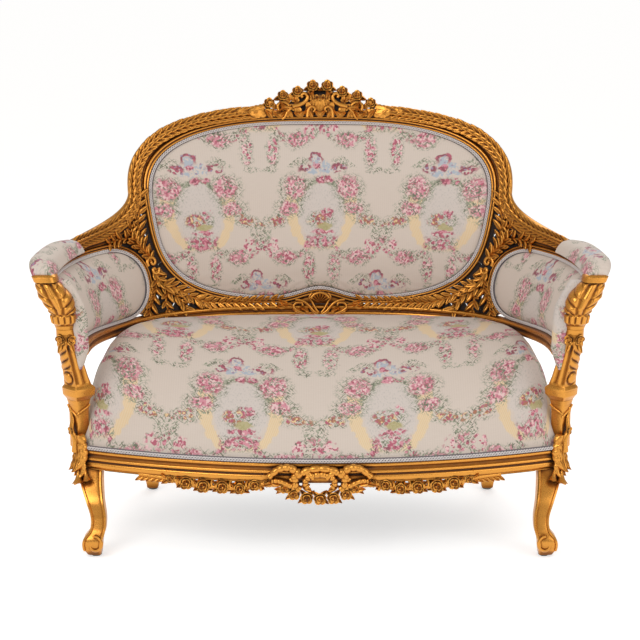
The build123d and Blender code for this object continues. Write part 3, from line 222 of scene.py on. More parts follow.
def oval(angle, grow=0.0):
    """Points of the back's oval, as run and height, from the top round to the foot."""
    run = (OVAL_HALF_WIDTH + grow) * signed_power(np.sin(angle), 2 / OVAL_SQUARENESS)
    height = OVAL_HEIGHT + (OVAL_HALF_HEIGHT + grow) * signed_power(np.cos(angle), 2 / OVAL_SQUARENESS)
    rise = KIDNEY_RISE * np.exp(-((run / KIDNEY_SPREAD) ** 2))
    return run, height + np.where(np.cos(angle) < 0, rise, 0)


def oval_top(run, grow=0.0):
    """The height of the oval's upper edge at a run."""
    share = np.minimum(np.abs(run) / (OVAL_HALF_WIDTH + grow), 1)
    reach = (1 - share ** OVAL_SQUARENESS) ** (1 / OVAL_SQUARENESS)
    return OVAL_HEIGHT + (OVAL_HALF_HEIGHT + grow) * reach


def oval_bottom(run, grow=0.0):
    """The height of the oval's lower edge at a run, with its rise in the middle."""
    rise = KIDNEY_RISE * np.exp(-((run / KIDNEY_SPREAD) ** 2))
    return 2 * OVAL_HEIGHT - oval_top(run, grow) + rise


def oval_angles(count):
    """Angles of the oval from its top to its foot, evenly spaced along it."""
    fine = np.linspace(0, 1, 4001)
    fine = pi * fine ** 1.5 / (fine ** 1.5 + (1 - fine) ** 1.5)
    length = distances(joined(*oval(fine)))
    return np.interp(np.linspace(0, length[-1], count), length, fine)


def oval_angle(run):
    """The angle at which the line outside the oval's ring has a run."""
    return np.arcsin(signed_power(run / (OVAL_HALF_WIDTH + RAIL_GROW), OVAL_SQUARENESS / 2))


def arm_end(angle, grow=0.0):
    """Points of the arm panel's round rear end, from the top round to the bottom."""
    half_height = (ARM_TOP - BOTTOM_RAIL_TOP) / 2
    run = ARM_END_RUN - (ARM_END_HALF + grow) * signed_power(np.sin(angle), 0.9)
    return run, ARM_TOP - half_height + (half_height + grow) * signed_power(np.cos(angle), 0.9)


def arm_outline(grow):
    """The arm panel's closed outline, as runs and heights."""
    run, height = arm_end(np.linspace(0, pi, 41), grow)
    straight = np.linspace(ARM_END_RUN, ARM_FRONT_RUN, 21)[1:]
    low = BOTTOM_RAIL_TOP + sill_rise(straight) - grow
    ends = np.linspace(low[-1], ARM_TOP + grow, 13)
    runs = np.concatenate([run, straight, np.full(11, ARM_FRONT_RUN), straight[::-1]])
    return runs, np.concatenate([height, low, ends[1:-1], np.full(20, ends[-1])])


def sill_rise(run):
    """How far the arm's bottom rail climbs towards the front."""
    return SILL_RISE * ease(np.clip((np.abs(run) - SILL_START) / (ARM_FRONT_RUN - SILL_START), 0, 1))


def bend(start, lead, follow, finish, share):
    """Points of a cubic curve on the surface, as run and height."""
    rest = 1 - share
    weights = rest ** 3, 3 * rest ** 2 * share, 3 * rest * share ** 2, share ** 3
    points = start, lead, follow, finish
    return tuple(sum(w * p[axis] for w, p in zip(weights, points)) for axis in (0, 1))


LOW_START = oval(SHOULDER_ANGLE, RAIL_GROW)
HIGH_START = oval(SHOULDER_ANGLE, RAIL_GROW + TOP_RAIL_WIDTH)


def rail_low(share):
    """The top rail's lower edge from the shoulder to the arm's ring, then along the ring."""
    lead = LOW_START[0] + 0.014, LOW_START[1] - 0.068
    follow = CUSP_RUN - 0.08, RAIL_END_LOW
    before = np.minimum(share / CUSP_SHARE, 1)
    run, height = bend(LOW_START, lead, follow, (CUSP_RUN, RAIL_END_LOW), before)
    past = np.maximum(share - CUSP_SHARE, 0) / (1 - CUSP_SHARE)
    return run + past * (ARM_RAIL_RUN - CUSP_RUN), height


def rail_high(share):
    """The top rail's upper edge from the shoulder to the arm."""
    lead = HIGH_START[0] + 0.014, HIGH_START[1] - 0.048
    follow = ARM_RAIL_RUN - 0.11, RAIL_END_HIGH + 0.008
    return bend(HIGH_START, lead, follow, (ARM_RAIL_RUN, RAIL_END_HIGH), share)


def front_bow(x):
    """The front rail's face at a distance from the middle."""
    return FEET_LINE - FRONT_RAIL_LEAD + FRONT_RADIUS - np.sqrt(FRONT_RADIUS ** 2 - np.square(x))


def rear_bow(x):
    """The rear rail's outer face at a distance from the middle."""
    half = REAR_LEG_X - REAR_LEG_BLOCK / 2
    radius = (half ** 2 + REAR_BOW ** 2) / (2 * REAR_BOW)
    start = FEET_LINE + REAR_LEG_Y + SIDE_RAIL_THICKNESS / 2
    return start + REAR_BOW - radius + np.sqrt(radius ** 2 - np.square(x))


def seat_corners(inset):
    """The seat's half widths at the front and rear, and its front and rear edge there."""
    half_front, half_rear = COVER_HALF_FRONT - inset, SEAT_HALF_REAR - inset
    return half_front, half_rear, front_bow(half_front) + inset, rear_bow(half_rear) - inset


def seat_span(x, inset):
    """The seat's front and rear edge at a distance from the middle; the sides swell out."""
    half_front, half_rear, front, rear = seat_corners(inset)
    share = np.clip((half_front - np.abs(x)) / (half_front - half_rear), 0, 1)
    side = front + share ** (1 / SIDE_SWELL) * (rear - front)
    back = rear_bow(np.clip(x, -half_rear, half_rear)) - inset
    return front_bow(x) + inset, np.where(np.abs(x) > half_rear, side, back)


def seat_outline(inset, count):
    """The seat's closed outline in plan, evenly spaced, from the middle of the front."""
    half_front, half_rear, front, rear = seat_corners(inset)
    fronts = np.linspace(0, half_front, 60)
    climb = np.linspace(0, 1, 40)[1:-1]
    sides = half_front - (half_front - half_rear) * climb ** SIDE_SWELL
    rears = np.linspace(half_rear, 0, 50)
    x = np.concatenate([fronts, sides, rears])
    y = np.concatenate([front_bow(fronts) + inset, front + climb * (rear - front), rear_bow(rears) - inset])
    x, y = np.concatenate([x, -x[::-1]]), np.concatenate([y, y[::-1]])
    length = distances(joined(x, y))
    places = np.linspace(0, length[-1], count)
    return np.interp(places, length, x), np.interp(places, length, y)


def dome(share):
    """The height of the seat's dome, from 0 to 1, at a share of its depth."""
    before = np.clip(share / SEAT_PEAK, 0, 1)
    past = np.clip((share - SEAT_PEAK) / (1 - SEAT_PEAK), 0, 1)
    return np.where(share < SEAT_PEAK, (1 - (1 - before) ** DOME_FRONT) ** 0.85, np.sqrt(1 - past ** 2))


POST_LINE = (
    (0.245, 0.574, 0.082),
    (0.360, 0.572, 0.074),
    (0.390, 0.570, 0.071),
    (0.460, 0.582, 0.060),
    (0.505, 0.591, 0.052),
    (0.541, 0.594, 0.047),
    (0.574, 0.597, 0.044),
    (0.593, 0.599, 0.042),
    (0.624, 0.613, 0.040),
    (0.656, 0.631, 0.040),
    (0.674, 0.637, 0.042),
)


def post_middle(height):
    """The middle of a post at a height, leaning out and forward over the leg."""
    heights, aside, behind = np.transpose(POST_LINE)
    return np.interp(height, heights, aside), FEET_LINE + np.interp(height, heights, behind)


def smooth_line(points, count):
    """A smooth line through a few points."""
    points = np.asarray(points, float)
    ends = np.vstack([2 * points[0] - points[1], points, 2 * points[-1] - points[-2]])
    places = np.linspace(0, len(points) - 1, count)
    index = np.minimum(places.astype(int), len(points) - 2)
    share = (places - index)[:, None]
    a, b, c, d = (ends[index + k] for k in range(4))
    square, cube = 2 * a - 5 * b + 4 * c - d, 3 * b - a - 3 * c + d
    return (2 * b + (c - a) * share + square * share ** 2 + cube * share ** 3) / 2


def rounded(*corners):
    """A closed outline with its corners cut."""
    corners = np.array(corners, float)
    ahead = np.roll(corners, -1, axis=0)
    cuts = corners * 0.75 + ahead * 0.25, corners * 0.25 + ahead * 0.75
    return np.stack(cuts, axis=1).reshape(-1, 2)


def grid_faces(rows, columns, around=False):
    """The quads of a grid of points, closed around its columns where asked."""
    last = columns if around else columns - 1
    row, column = np.meshgrid(np.arange(rows - 1), np.arange(last), indexing="ij")
    start, after, beside = row * columns, (row + 1) * columns, (column + 1) % columns
    return joined(start + column, start + beside, after + beside, after + column).reshape(-1, 4)


def outward_mesh(name, points, faces):
    """A mesh with its faces turned outwards."""
    mesh = bpy.data.meshes.new(name)
    mesh.from_pydata(points.tolist(), [], faces)
    work = bmesh.new()
    work.from_mesh(mesh)
    bmesh.ops.recalc_face_normals(work, faces=work.faces)
    work.to_mesh(mesh)
    work.free()
    return mesh


class Piece:
    """The points and faces of one piece, gathered part by part."""

    def __init__(self):
        self.points = []
        self.faces = []
        self.count = 0

    def add(self, points, faces):
        """Points with their faces."""
        points = np.asarray(points, float).reshape(-1, 3)
        self.points.append(points)
        self.faces.extend([[int(corner) + self.count for corner in face] for face in faces])
        self.count += len(points)
        return self

    def sheet(self, top, bottom):
        """Two grids of points joined along their borders, as one closed form."""
        rows, columns = top.shape[:2]
        size = rows * columns
        index = np.arange(size).reshape(rows, columns)
        border = np.concatenate([index[0, :-1], index[:-1, -1], index[-1, :0:-1], index[:0:-1, 0]])
        ahead = np.roll(border, -1)
        faces = grid_faces(rows, columns)
        sides = joined(border, border + size, ahead + size, ahead)
        return self.add(np.concatenate([top.reshape(-1, 3), bottom.reshape(-1, 3)]),
                        np.concatenate([faces, faces[:, ::-1] + size, sides]))

    def loft(self, sections, closed_path=False):
        """Closed sections joined in order, with both ends filled unless the path is closed."""
        rows, columns = sections.shape[:2]
        faces = grid_faces(rows, columns, around=True).tolist()
        last = (rows - 1) * columns
        if closed_path:
            faces += [[last + k, last + (k + 1) % columns, (k + 1) % columns, k] for k in range(columns)]
        else:
            faces += [list(range(columns))[::-1], [last + k for k in range(columns)]]
        return self.add(sections, faces)

    def tube(self, path, radii, sides=8, facing=(0.0, -1.0, 0.2)):
        """A round rod along a path."""
        path = np.asarray(path, float)
        along = unit(np.gradient(path, axis=0))
        side = unit(np.cross(along, np.broadcast_to(facing, path.shape)))
        rise = np.cross(side, along)
        turn = np.linspace(0, 2 * pi, sides, endpoint=False)[:, None]
        radii = np.broadcast_to(radii, len(path))[:, None, None]
        ring = np.cos(turn) * side[:, None] + np.sin(turn) * rise[:, None]
        return self.loft(path[:, None] + radii * ring)

    def place(self, shape, origin, along, facing, size):
        """A copy of a small shape, its length along one direction and its face to another."""
        points, faces = shape
        along = unit(np.asarray(along, float))
        facing = np.asarray(facing, float)
        facing = unit(facing - along * np.dot(along, facing))
        axes = np.stack([along, np.cross(facing, along), facing]) * np.broadcast_to(size, 3)[:, None]
        return self.add(np.asarray(origin) + points @ axes, faces)

    def shape(self):
        """The gathered points and faces, for use as a small shape."""
        return np.concatenate(self.points), self.faces

    def mirrored(self):
        """The piece's mirror image."""
        points, faces = self.shape()
        return Piece().add(points * MIRROR, [face[::-1] for face in faces])

    def with_mirror(self):
        """The same piece with its mirror image at the other side."""
        return Piece().add(*self.shape()).add(*self.mirrored().shape())

    def mesh(self, name):
        """The piece as a mesh."""
        return outward_mesh(name, *self.shape())


def read(elements, key, width=3, kind=float):
    """A value of every element of a mesh, one row for each."""
    values = np.empty(len(elements) * width, kind)
    elements.foreach_get(key, values)
    return values.reshape(-1, width)


SHORTEST_EDGE = 0.0004
HOLLOW_REACH = 0.0022


def mark_hollows(mesh, passes=2):
    """Store how hollow the surface is at each point, for the patina of the gilding in its recesses and the
    painted shade in the braid's hollows.
    """
    points = read(mesh.vertices, "co")
    normals = read(mesh.vertex_normals, "vector")
    first, second = read(mesh.edges, "vertices", 2, int).T
    stride = points[second] - points[first]
    steep = HOLLOW_REACH / np.maximum(np.linalg.norm(stride, axis=1), SHORTEST_EDGE) ** 2
    bends = np.concatenate([(normals[first] * stride).sum(axis=1) * steep,
                            -(normals[second] * stride).sum(axis=1) * steep])
    ends, others = np.concatenate([first, second]), np.concatenate([second, first])
    count = len(points)
    shares = np.maximum(np.bincount(ends, minlength=count), 1)
    hollow = np.clip(np.bincount(ends, bends, count) / shares, -0.6, 0.6)
    for turn in range(passes):
        hollow = 0.5 * hollow + 0.5 * np.bincount(ends, hollow[others], count) / shares
    attribute = mesh.attributes.new("hollow", "FLOAT", "POINT")
    attribute.data.foreach_set("value", hollow.astype(np.float32))


def stand(mesh, name, material, nodes=()):
    """Put a finished mesh in the scene, on the settee's body, in place of the named nodes."""
    mesh.name = name
    mesh.materials.clear()
    mesh.materials.append(material)
    mesh.shade_smooth()
    thing = bpy.data.objects.new(name, mesh)
    bpy.context.scene.collection.objects.link(thing)
    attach(thing, "root")
    if nodes:
        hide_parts(*nodes)
    return thing


def carve(piece, name, nodes=(), finish="gilt"):
    """Stand a carved and gilded piece in the scene."""
    mesh = piece.mesh(name)
    mesh.set_sharp_from_angle(angle=radians(50))
    mark_hollows(mesh)
    return stand(mesh, name, material(finish), nodes)


def carve_pair(piece, name):
    """Stand the left piece and its mirror on the right."""
    carve(piece, name + "_carved_left", [name + "_left"])
    carve(piece.mirrored(), name + "_carved_right", [name + "_right"])


def swept(start, across, out, profile):
    """Sections along a line; the profile's columns are measured across and out."""
    return start[:, None] + across[..., None, :] * profile[:, :1] + out[..., None, :] * profile[:, 1:]


def band(inner, outer, profile):
    """Sections of a band between two lines on the surface; the profile gives share and outward distance."""
    start = shell(*inner)
    return swept(start, shell(*outer) - start, shell_normal(*inner), profile)


def branch(piece, points, thick, thin, out, count, sides=8):
    """A tapered rod along a smooth line on the surface."""
    run, height = smooth_line(points, count).T
    piece.tube(shell(run, height, out), np.linspace(thick, thin, count), sides)


def fix(piece, shape, run, height, out, way, size, lean=0.0, side=1):
    """A small shape on the surface, turned by an angle from the run and leaning towards the sitter."""
    along, up, facing = shell_axes(side * run, height)
    heading = along * side * cos(way) + up * sin(way) + facing * lean
    piece.place(shape, shell(side * run, height, out), heading, facing, size)


# Small carved shapes, drawn with their length along X and their face to Z

def leaf_shape(width, thick, curl):
    """A pointed leaf with a sunk midrib."""
    t = np.linspace(0, 1, 6)[:, None]
    s = np.linspace(-1, 1, 5)
    half = width / 2 * np.sin(pi * (0.04 + 0.94 * t) ** 0.8) ** 0.85
    body = np.sin(pi * np.clip(t, 0.05, 0.95)) ** 0.6
    rise = thick * body * (np.sin(pi * np.abs(s)) * 0.9 + 0.25 * (1 - np.abs(s))) + curl * t ** 2
    bottom = joined(t, half * s * 0.9, curl * t ** 2 - 0.05)
    return Piece().sheet(joined(t, half * s, rise), bottom).shape()


ACANTHUS_CURL = 0.16


def acanthus_shape(lobes, width=0.62, rows=26, columns=11):
    """A broad lobed leaf with a raised midrib, veins and a tip that curls forward."""
    t = np.linspace(0, 1, rows)[:, None]
    s = np.linspace(-1, 1, columns)
    side = np.abs(s)
    lobe = np.abs(np.sin(pi * lobes * t)) ** 0.6
    half = width / 2 * np.sin(pi * (0.16 + 0.8 * t)) ** 0.7 * (0.74 + 0.26 * lobe) + 0.01
    vein = np.cos(2 * pi * lobes * (t + 0.12 * side))
    curl = ACANTHUS_CURL * t ** 3
    rise = 0.05 * np.exp(-((s / 0.14) ** 2)) + 0.035 * (1 - lobe * side) * (1 - s ** 2)
    rise = rise - 0.025 * vein * side * (1.15 - side) + 0.05 * np.sin(pi * side) + curl
    return Piece().sheet(joined(t, half * s, rise), joined(t, half * s * 0.94, curl - 0.06)).shape()


# Petals in each ring of a rose, with the ring's reach, height, lift and turn
ROSE_LAYERS = ((5, 1.0, 0.66, 0.0, 0.0), (4, 0.68, 0.64, 0.16, 0.63))
PETAL_THICKNESS = 0.11


def rose_shape():
    """A full rose: rings of cupped petals round a hollow heart."""
    rose = Piece()
    t = np.linspace(0, 1, 6)[:, None]
    s = np.linspace(-1, 1, 5)
    for count, reach, tall, lift, turn in ROSE_LAYERS:
        cup = np.sin(pi / 2 * np.minimum(1.2 * t, 1))
        away = reach * (0.25 + 0.7 * cup + 0.15 * t ** 6 - 0.16 * s ** 2 * t)
        rise = lift + tall * t ** 1.1 - 0.16 * t ** 6 - 0.22 * s ** 2 * t
        spread = 1.3 * pi / count * (0.45 + 0.55 * np.sin(0.75 * pi * t)) * s
        for petal in range(count):
            angle = turn + 2 * pi * petal / count + spread
            rose.sheet(*(joined(far * np.cos(angle), far * np.sin(angle), rise)
                         for far in (away, away - PETAL_THICKNESS)))
    return rose.add(*bead_shape(0.45, 0.02, 0.12)).shape()


def bead_shape(radius, lift, tall):
    """A round button with a rounded top."""
    climb = np.linspace(0, pi / 2, 5)[:-1, None]
    turn = np.linspace(0, 2 * pi, 10, endpoint=False)
    ring = radius * np.cos(climb)
    top = joined(ring * np.cos(turn), ring * np.sin(turn), lift + tall * np.sin(climb))
    foot = top[:1] * [1, 1, 0] + [0, 0, lift - tall * 0.6]
    return Piece().loft(np.concatenate([foot, top])).shape()


def trumpet_shape():
    """A flower with a long throat and an open mouth of five scallops along X."""
    along = np.array([0, 0.25, 0.5, 0.72, 0.88, 1.0, 0.97, 0.8])[:, None]
    wide = np.array([0.07, 0.09, 0.13, 0.2, 0.3, 0.38, 0.3, 0.12])[:, None]
    turn = np.linspace(0, 2 * pi, 20, endpoint=False)
    scallop = np.cos(5 * turn)
    ring = wide * (1 + 0.14 * scallop * np.clip(along * 2 - 1, 0, 1))
    rings = joined(along + 0.05 * scallop * along, ring * np.cos(turn), ring * np.sin(turn))
    return Piece().loft(rings).shape()


VOLUTE_POINTS = 60


def scroll_line(start, finish, turns):
    """A line that leaves a start and winds into a volute round the finish, in a plane."""
    across, up = np.subtract(start, finish)
    radius = np.hypot(across, up)
    share = np.linspace(0, 1, VOLUTE_POINTS)
    angle = np.arctan2(up, across) + 2 * pi * turns * share ** 0.8
    shrink = radius * (1 - share) ** 1.5 + 0.06 * radius
    return finish + joined(shrink * np.cos(angle), shrink * np.sin(angle))


# Rows of small shapes along a path

def row_tree():
    """A node tree that sets copies of an element along paths, turned to face outwards."""
    name = "Row along a path"
    if name in bpy.data.node_groups:
        return bpy.data.node_groups[name]
    tree = bpy.data.node_groups.new(name, "GeometryNodeTree")
    for socket, kind in (("Geometry", "Geometry"), ("Element", "Object"), ("Spacing", "Float"),
                         ("Size", "Float"), ("Variation", "Float"), ("Seed", "Int"),
                         ("Material", "Material")):
        tree.interface.new_socket(socket, in_out="INPUT", socket_type="NodeSocket" + kind)
    tree.interface.new_socket("Geometry", in_out="OUTPUT", socket_type="NodeSocketGeometry")

    board = Board(name, tree)
    given = {part.name: Signal(board, part) for part in tree.nodes.new("NodeGroupInput").outputs}
    curve = board.node("GeometryNodeMeshToCurve", {}, {"Mesh": given["Geometry"]})
    even = board.node("GeometryNodeResampleCurve", {"mode": "LENGTH"},
                      {"Curve": curve, "Length": given["Spacing"]})
    along = board.node("FunctionNodeAlignRotationToVector", {"axis": "X"},
                       {"Vector": board.node("GeometryNodeInputTangent")})
    facing = board.node("GeometryNodeInputNamedAttribute", {"data_type": "FLOAT_VECTOR"}, {"Name": "facing"})
    turned = board.node("FunctionNodeAlignRotationToVector", {"axis": "Z", "pivot_axis": "X"},
                        {"Rotation": along, "Vector": facing})
    chance = board.node("FunctionNodeRandomValue", {"data_type": "FLOAT"},
                        {2: 1 - given["Variation"], 3: 1 + given["Variation"], "Seed": given["Seed"]}, 1)
    element = board.node("GeometryNodeObjectInfo", {}, {"Object": given["Element"]}, "Geometry")
    copies = board.node("GeometryNodeInstanceOnPoints", {}, {
        "Points": even, "Instance": element, "Rotation": turned, "Scale": given["Size"] * chance})
    real = board.node("GeometryNodeRealizeInstances", {}, {"Geometry": copies})
    dressed = board.node("GeometryNodeSetMaterial", {}, {"Geometry": real, "Material": given["Material"]})
    board.node("NodeGroupOutput", {}, {"Geometry": dressed})
    return tree


def row(name, paths, shape, spacing, size, finish="gilt", slot="gilt_wood", variation=0.0, seed=1):
    """Copies of a shape along paths. Each path is a pair of points and facing directions."""
    element = bpy.data.objects.new(name + "_element", outward_mesh(name + "_element", *shape))
    points, edges, facings = [], [], []
    for line, facing in paths:
        first = len(points)
        points += [list(point) for point in line]
        facings.append(np.broadcast_to(facing, np.shape(line)))
        edges += [[first + k, first + k + 1] for k in range(len(line) - 1)]
    path_mesh = bpy.data.meshes.new(name + "_path")
    path_mesh.from_pydata(points, edges, [])
    attribute = path_mesh.attributes.new("facing", "FLOAT_VECTOR", "POINT")
    attribute.data.foreach_set("vector", np.concatenate(facings).astype(np.float32).ravel())
    carrier = bpy.data.objects.new(name + "_path", path_mesh)
    for thing in (element, carrier):
        bpy.context.scene.collection.objects.link(thing)
    modifier = carrier.modifiers.new("Row", "NODES")
    modifier.node_group = row_tree()
    given = {"Element": element, "Spacing": spacing, "Size": size, "Variation": variation, "Seed": seed,
             "Material": material(finish)}
    for socket in modifier.node_group.interface.items_tree:
        if socket.in_out == "INPUT" and socket.name in given:
            modifier[socket.identifier] = given[socket.name]
    ready = carrier.evaluated_get(bpy.context.evaluated_depsgraph_get())
    mesh = bpy.data.meshes.new_from_object(ready)
    carrier.modifiers.remove(modifier)
    for thing in (element, carrier):
        bpy.data.objects.remove(thing)
    if not len(mesh.vertices):
        raise RuntimeError(name + " came out empty")
    mark_hollows(mesh, 1)
    return stand(mesh, name, material(finish))


def both_sides(paths):
    """Paths together with their mirror images."""
    return paths + [(line * MIRROR, facing * MIRROR) for line, facing in paths]


# Shader building

class Signal:
    """A shader value that sums and products can be written with."""

    def __init__(self, board, socket):
        self.board = board
        self.socket = socket

    def maths(self, operation, *others):
        """A Math node on this value and others."""
        return self.board.node("ShaderNodeMath", {"operation": operation}, dict(enumerate((self,) + others)))

    def __add__(self, other):
        return self.maths("ADD", other)

    __radd__ = __add__

    def __sub__(self, other):
        return self.maths("SUBTRACT", other)

    def __rsub__(self, other):
        return self.board.node("ShaderNodeMath", {"operation": "SUBTRACT"}, {0: other, 1: self})

    def __mul__(self, other):
        return self.maths("MULTIPLY", other)

    def __truediv__(self, other):
        return self.maths("DIVIDE", other)

    def __gt__(self, other):
        return self.maths("GREATER_THAN", other)

    def __abs__(self):
        return self.maths("ABSOLUTE")


class Board:
    """The node board of a new material, or of a tree that is there."""

    def __init__(self, name, tree=None):
        if tree is None:
            self.material = bpy.data.materials.new(name)
            self.material.use_nodes = True
            tree = self.material.node_tree
        self.tree = tree
        self.tree.nodes.clear()

    def node(self, kind, settings=None, sockets=None, output=0):
        """A node with its settings, its sockets' values or links, and the output that is used."""
        made = self.tree.nodes.new(kind)
        for key, value in (settings or {}).items():
            if key == "stops":
                self.set_stops(made.color_ramp, value)
            else:
                setattr(made, key, value)
        for key, value in (sockets or {}).items():
            if isinstance(value, Signal):
                self.tree.links.new(value.socket, made.inputs[key])
            elif made.inputs[key].type == "RGBA":
                made.inputs[key].default_value = tuple(value)[:3] + (1.0,)
            else:
                made.inputs[key].default_value = value
        return Signal(self, made.outputs[output]) if made.outputs else made

    def set_stops(self, ramp, stops):
        """The stops of a colour ramp, as places and colours."""
        while len(ramp.elements) < len(stops):
            ramp.elements.new(0.5)
        for element, (place, colour) in zip(ramp.elements, stops):
            element.position = place
            element.color = tuple(colour)[:3] + (1.0,)

    def smooth(self, value, start, finish):
        """A soft step from 0 at start to 1 at finish."""
        return self.node("ShaderNodeMapRange", {"interpolation_type": "SMOOTHSTEP"},
                         {"Value": value, "From Min": start, "From Max": finish})

    def mix(self, share, first, second):
        """A colour between two colours."""
        return self.node("ShaderNodeMix", {"data_type": "RGBA"}, {0: share, 6: first, 7: second}, 2)

    def noise(self, place, scale, detail=3.0, output=0):
        """Cloudy variation."""
        sockets = {"Vector": place, "Scale": scale, "Detail": detail}
        return self.node("ShaderNodeTexNoise", {}, sockets, output)

    def vector(self, operation, first, second=None, output=0):
        """A Vector Math node."""
        sockets = {0: first}
        if second is not None:
            sockets[1] = second
        return self.node("ShaderNodeVectorMath", {"operation": operation}, sockets, output)

    def split(self, kind, value):
        """All the parts of a vector or a colour."""
        parts = self.node(kind, {}, {0: value}).socket.node.outputs
        return [Signal(self, part) for part in parts]

    def place(self):
        """The place on the settee."""
        return self.node("ShaderNodeTexCoord", output=3)

    def recess(self, curved, shaded, reach):
        """How deep in a recess a place is: from the surface's curve, and painted shade from the occlusion by
        what stands around it.
        """
        hollow = self.node("ShaderNodeAttribute", {"attribute_name": "hollow"}, output=2)
        # The occlusion darkens the colour where shade falls: painted shade.
        shade = self.node("ShaderNodeAmbientOcclusion", {"samples": 8}, {"Distance": reach}, 1)
        return hollow * curved + (1 - shade) * shaded

    def bump(self, strength, distance, height):
        """Fine relief."""
        sockets = {"Strength": strength, "Distance": distance, "Height": height}
        return self.node("ShaderNodeBump", {}, sockets)

    def finish(self, **sockets):
        """The surface shader and the material's output."""
        named = {key.replace("_", " "): value for key, value in sockets.items()}
        shader = self.node("ShaderNodeBsdfPrincipled", {}, named)
        self.node("ShaderNodeOutputMaterial", {}, {"Surface": shader})
        return self.material


def gilt(name, bright, gold, deep, toning_and_painted_shade, rear=None):
    """Water-gilt wood: bright on the highs, brown patina in the hollows of the surface's curve, painted shade
    where the occlusion finds recesses and gaps between parts, faintly rubbed.
    """
    board = Board(name)
    place = board.place()
    cloud = board.noise(place, 38.0, 4.0)
    grain = board.noise(place, 420.0, 2.0)
    # Depth for the colour: patina from the curve, painted shade from the occlusion, and an even painted shade
    # for the darker ground plates.
    depth = board.recess(2.2, 0.95, 0.022) + (cloud - 0.5) * 0.3 + toning_and_painted_shade
    between = [0.55 * g + 0.45 * d for g, d in zip(gold, deep)]
    stops = (0.0, bright), (0.22, gold), (0.5, between), (0.8, deep)
    colour = board.node("ShaderNodeValToRGB", {"stops": stops}, {"Fac": depth})
    # The painted shade of a ground plate stays off the faces turned to the back, which keep the plain
    # gilding.
    if rear:
        behind = board.split("ShaderNodeSeparateXYZ", board.node("ShaderNodeNewGeometry", output=1))[1]
        colour = board.mix(board.smooth(behind, 0.1, 0.4), colour, rear)
    rough = board.smooth(depth, 0.0, 0.9) * 0.36 + 0.24 + grain * 0.08
    return board.finish(Base_Color=colour, Metallic=0.86 - board.smooth(depth, 0.2, 0.9) * 0.6,
                        Roughness=rough, Normal=board.bump(0.12, 0.001, grain + cloud * 1.5))


def plain_wood(name, pale, dark):
    """Bare beech with straight grain."""
    board = Board(name)
    grain = board.noise(board.vector("MULTIPLY", board.place(), (6.0, 60.0, 60.0)), 2.0, 5.0)
    colour = board.mix(board.smooth(grain, 0.35, 0.7), pale, dark)
    relief = board.bump(0.2, 0.0006, grain)
    return board.finish(Base_Color=colour, Roughness=0.5 + grain * 0.25, Normal=relief)


def woven(name, pale, dark, pitch):
    """A plain open weave, for burlap, webbing and lining."""
    board = Board(name)
    place = board.place()
    turns = board.vector("MULTIPLY", place, (2 * pi / pitch,) * 3)
    x, y, z = board.split("ShaderNodeSeparateXYZ", turns)
    cross = x.maths("SINE") * (y + z).maths("SINE")
    slub = board.noise(place, 90.0)
    colour = board.mix(board.smooth(cross + slub, 0.0, 1.4), dark, pale)
    return board.finish(Base_Color=colour, Roughness=0.86 + slub * 0.1, Normal=board.bump(0.5, 0.0006, cross))


def metal(name, bright, dull, rough):
    """Drawn steel with a little tarnish."""
    board = Board(name)
    cloud = board.noise(board.place(), 120.0)
    colour = board.mix(board.smooth(cloud, 0.35, 0.7), bright, dull)
    return board.finish(Base_Color=colour, Metallic=0.9, Roughness=rough + cloud * 0.2)


def thread(name, pale, dark):
    """Silky silver-grey braid thread, with painted shade in its hollows from the surface's curve and the
    occlusion.
    """
    board = Board(name)
    fibre = board.noise(board.place(), 900.0, 2.0)
    # Painted shade: darker in the hollows and where the strands crowd each other.
    depth = board.recess(1.2, 0.9, 0.006) + (fibre - 0.5) * 0.5
    colour = board.mix(board.smooth(depth, 0.0, 0.8), pale, dark)
    return board.finish(Base_Color=colour, Roughness=0.55 + fibre * 0.15,
                        Normal=board.bump(0.3, 0.0004, fibre), Sheen_Weight=0.3)


class Medallion:
    """The drawing of one brocade repeat: a place in it, and soft-edged spots and rings of colour."""

    def __init__(self, board, place):
        self.board = board
        self.place = place

    def reach(self, x, y, wide, tall):
        """The distance from a centre, 1 at the edge of an ellipse of two half sizes."""
        moved = self.board.vector("SUBTRACT", self.place, (x, y, 0.0))
        scaled = self.board.vector("MULTIPLY", moved, (1 / wide, 1 / tall, 0.0))
        return self.board.vector("LENGTH", scaled, output=1)

    def spot(self, x, y, wide, tall, soft=0.25):
        """A filled ellipse with a soft edge."""
        return self.board.smooth(self.reach(x, y, wide, tall), 1 + soft, 1 - soft)

    def ring(self, x, y, wide, tall, width):
        """A line along an ellipse."""
        width = width / min(wide, tall)
        return self.board.smooth(abs(self.reach(x, y, wide, tall) - 1), width, 0.4 * width)


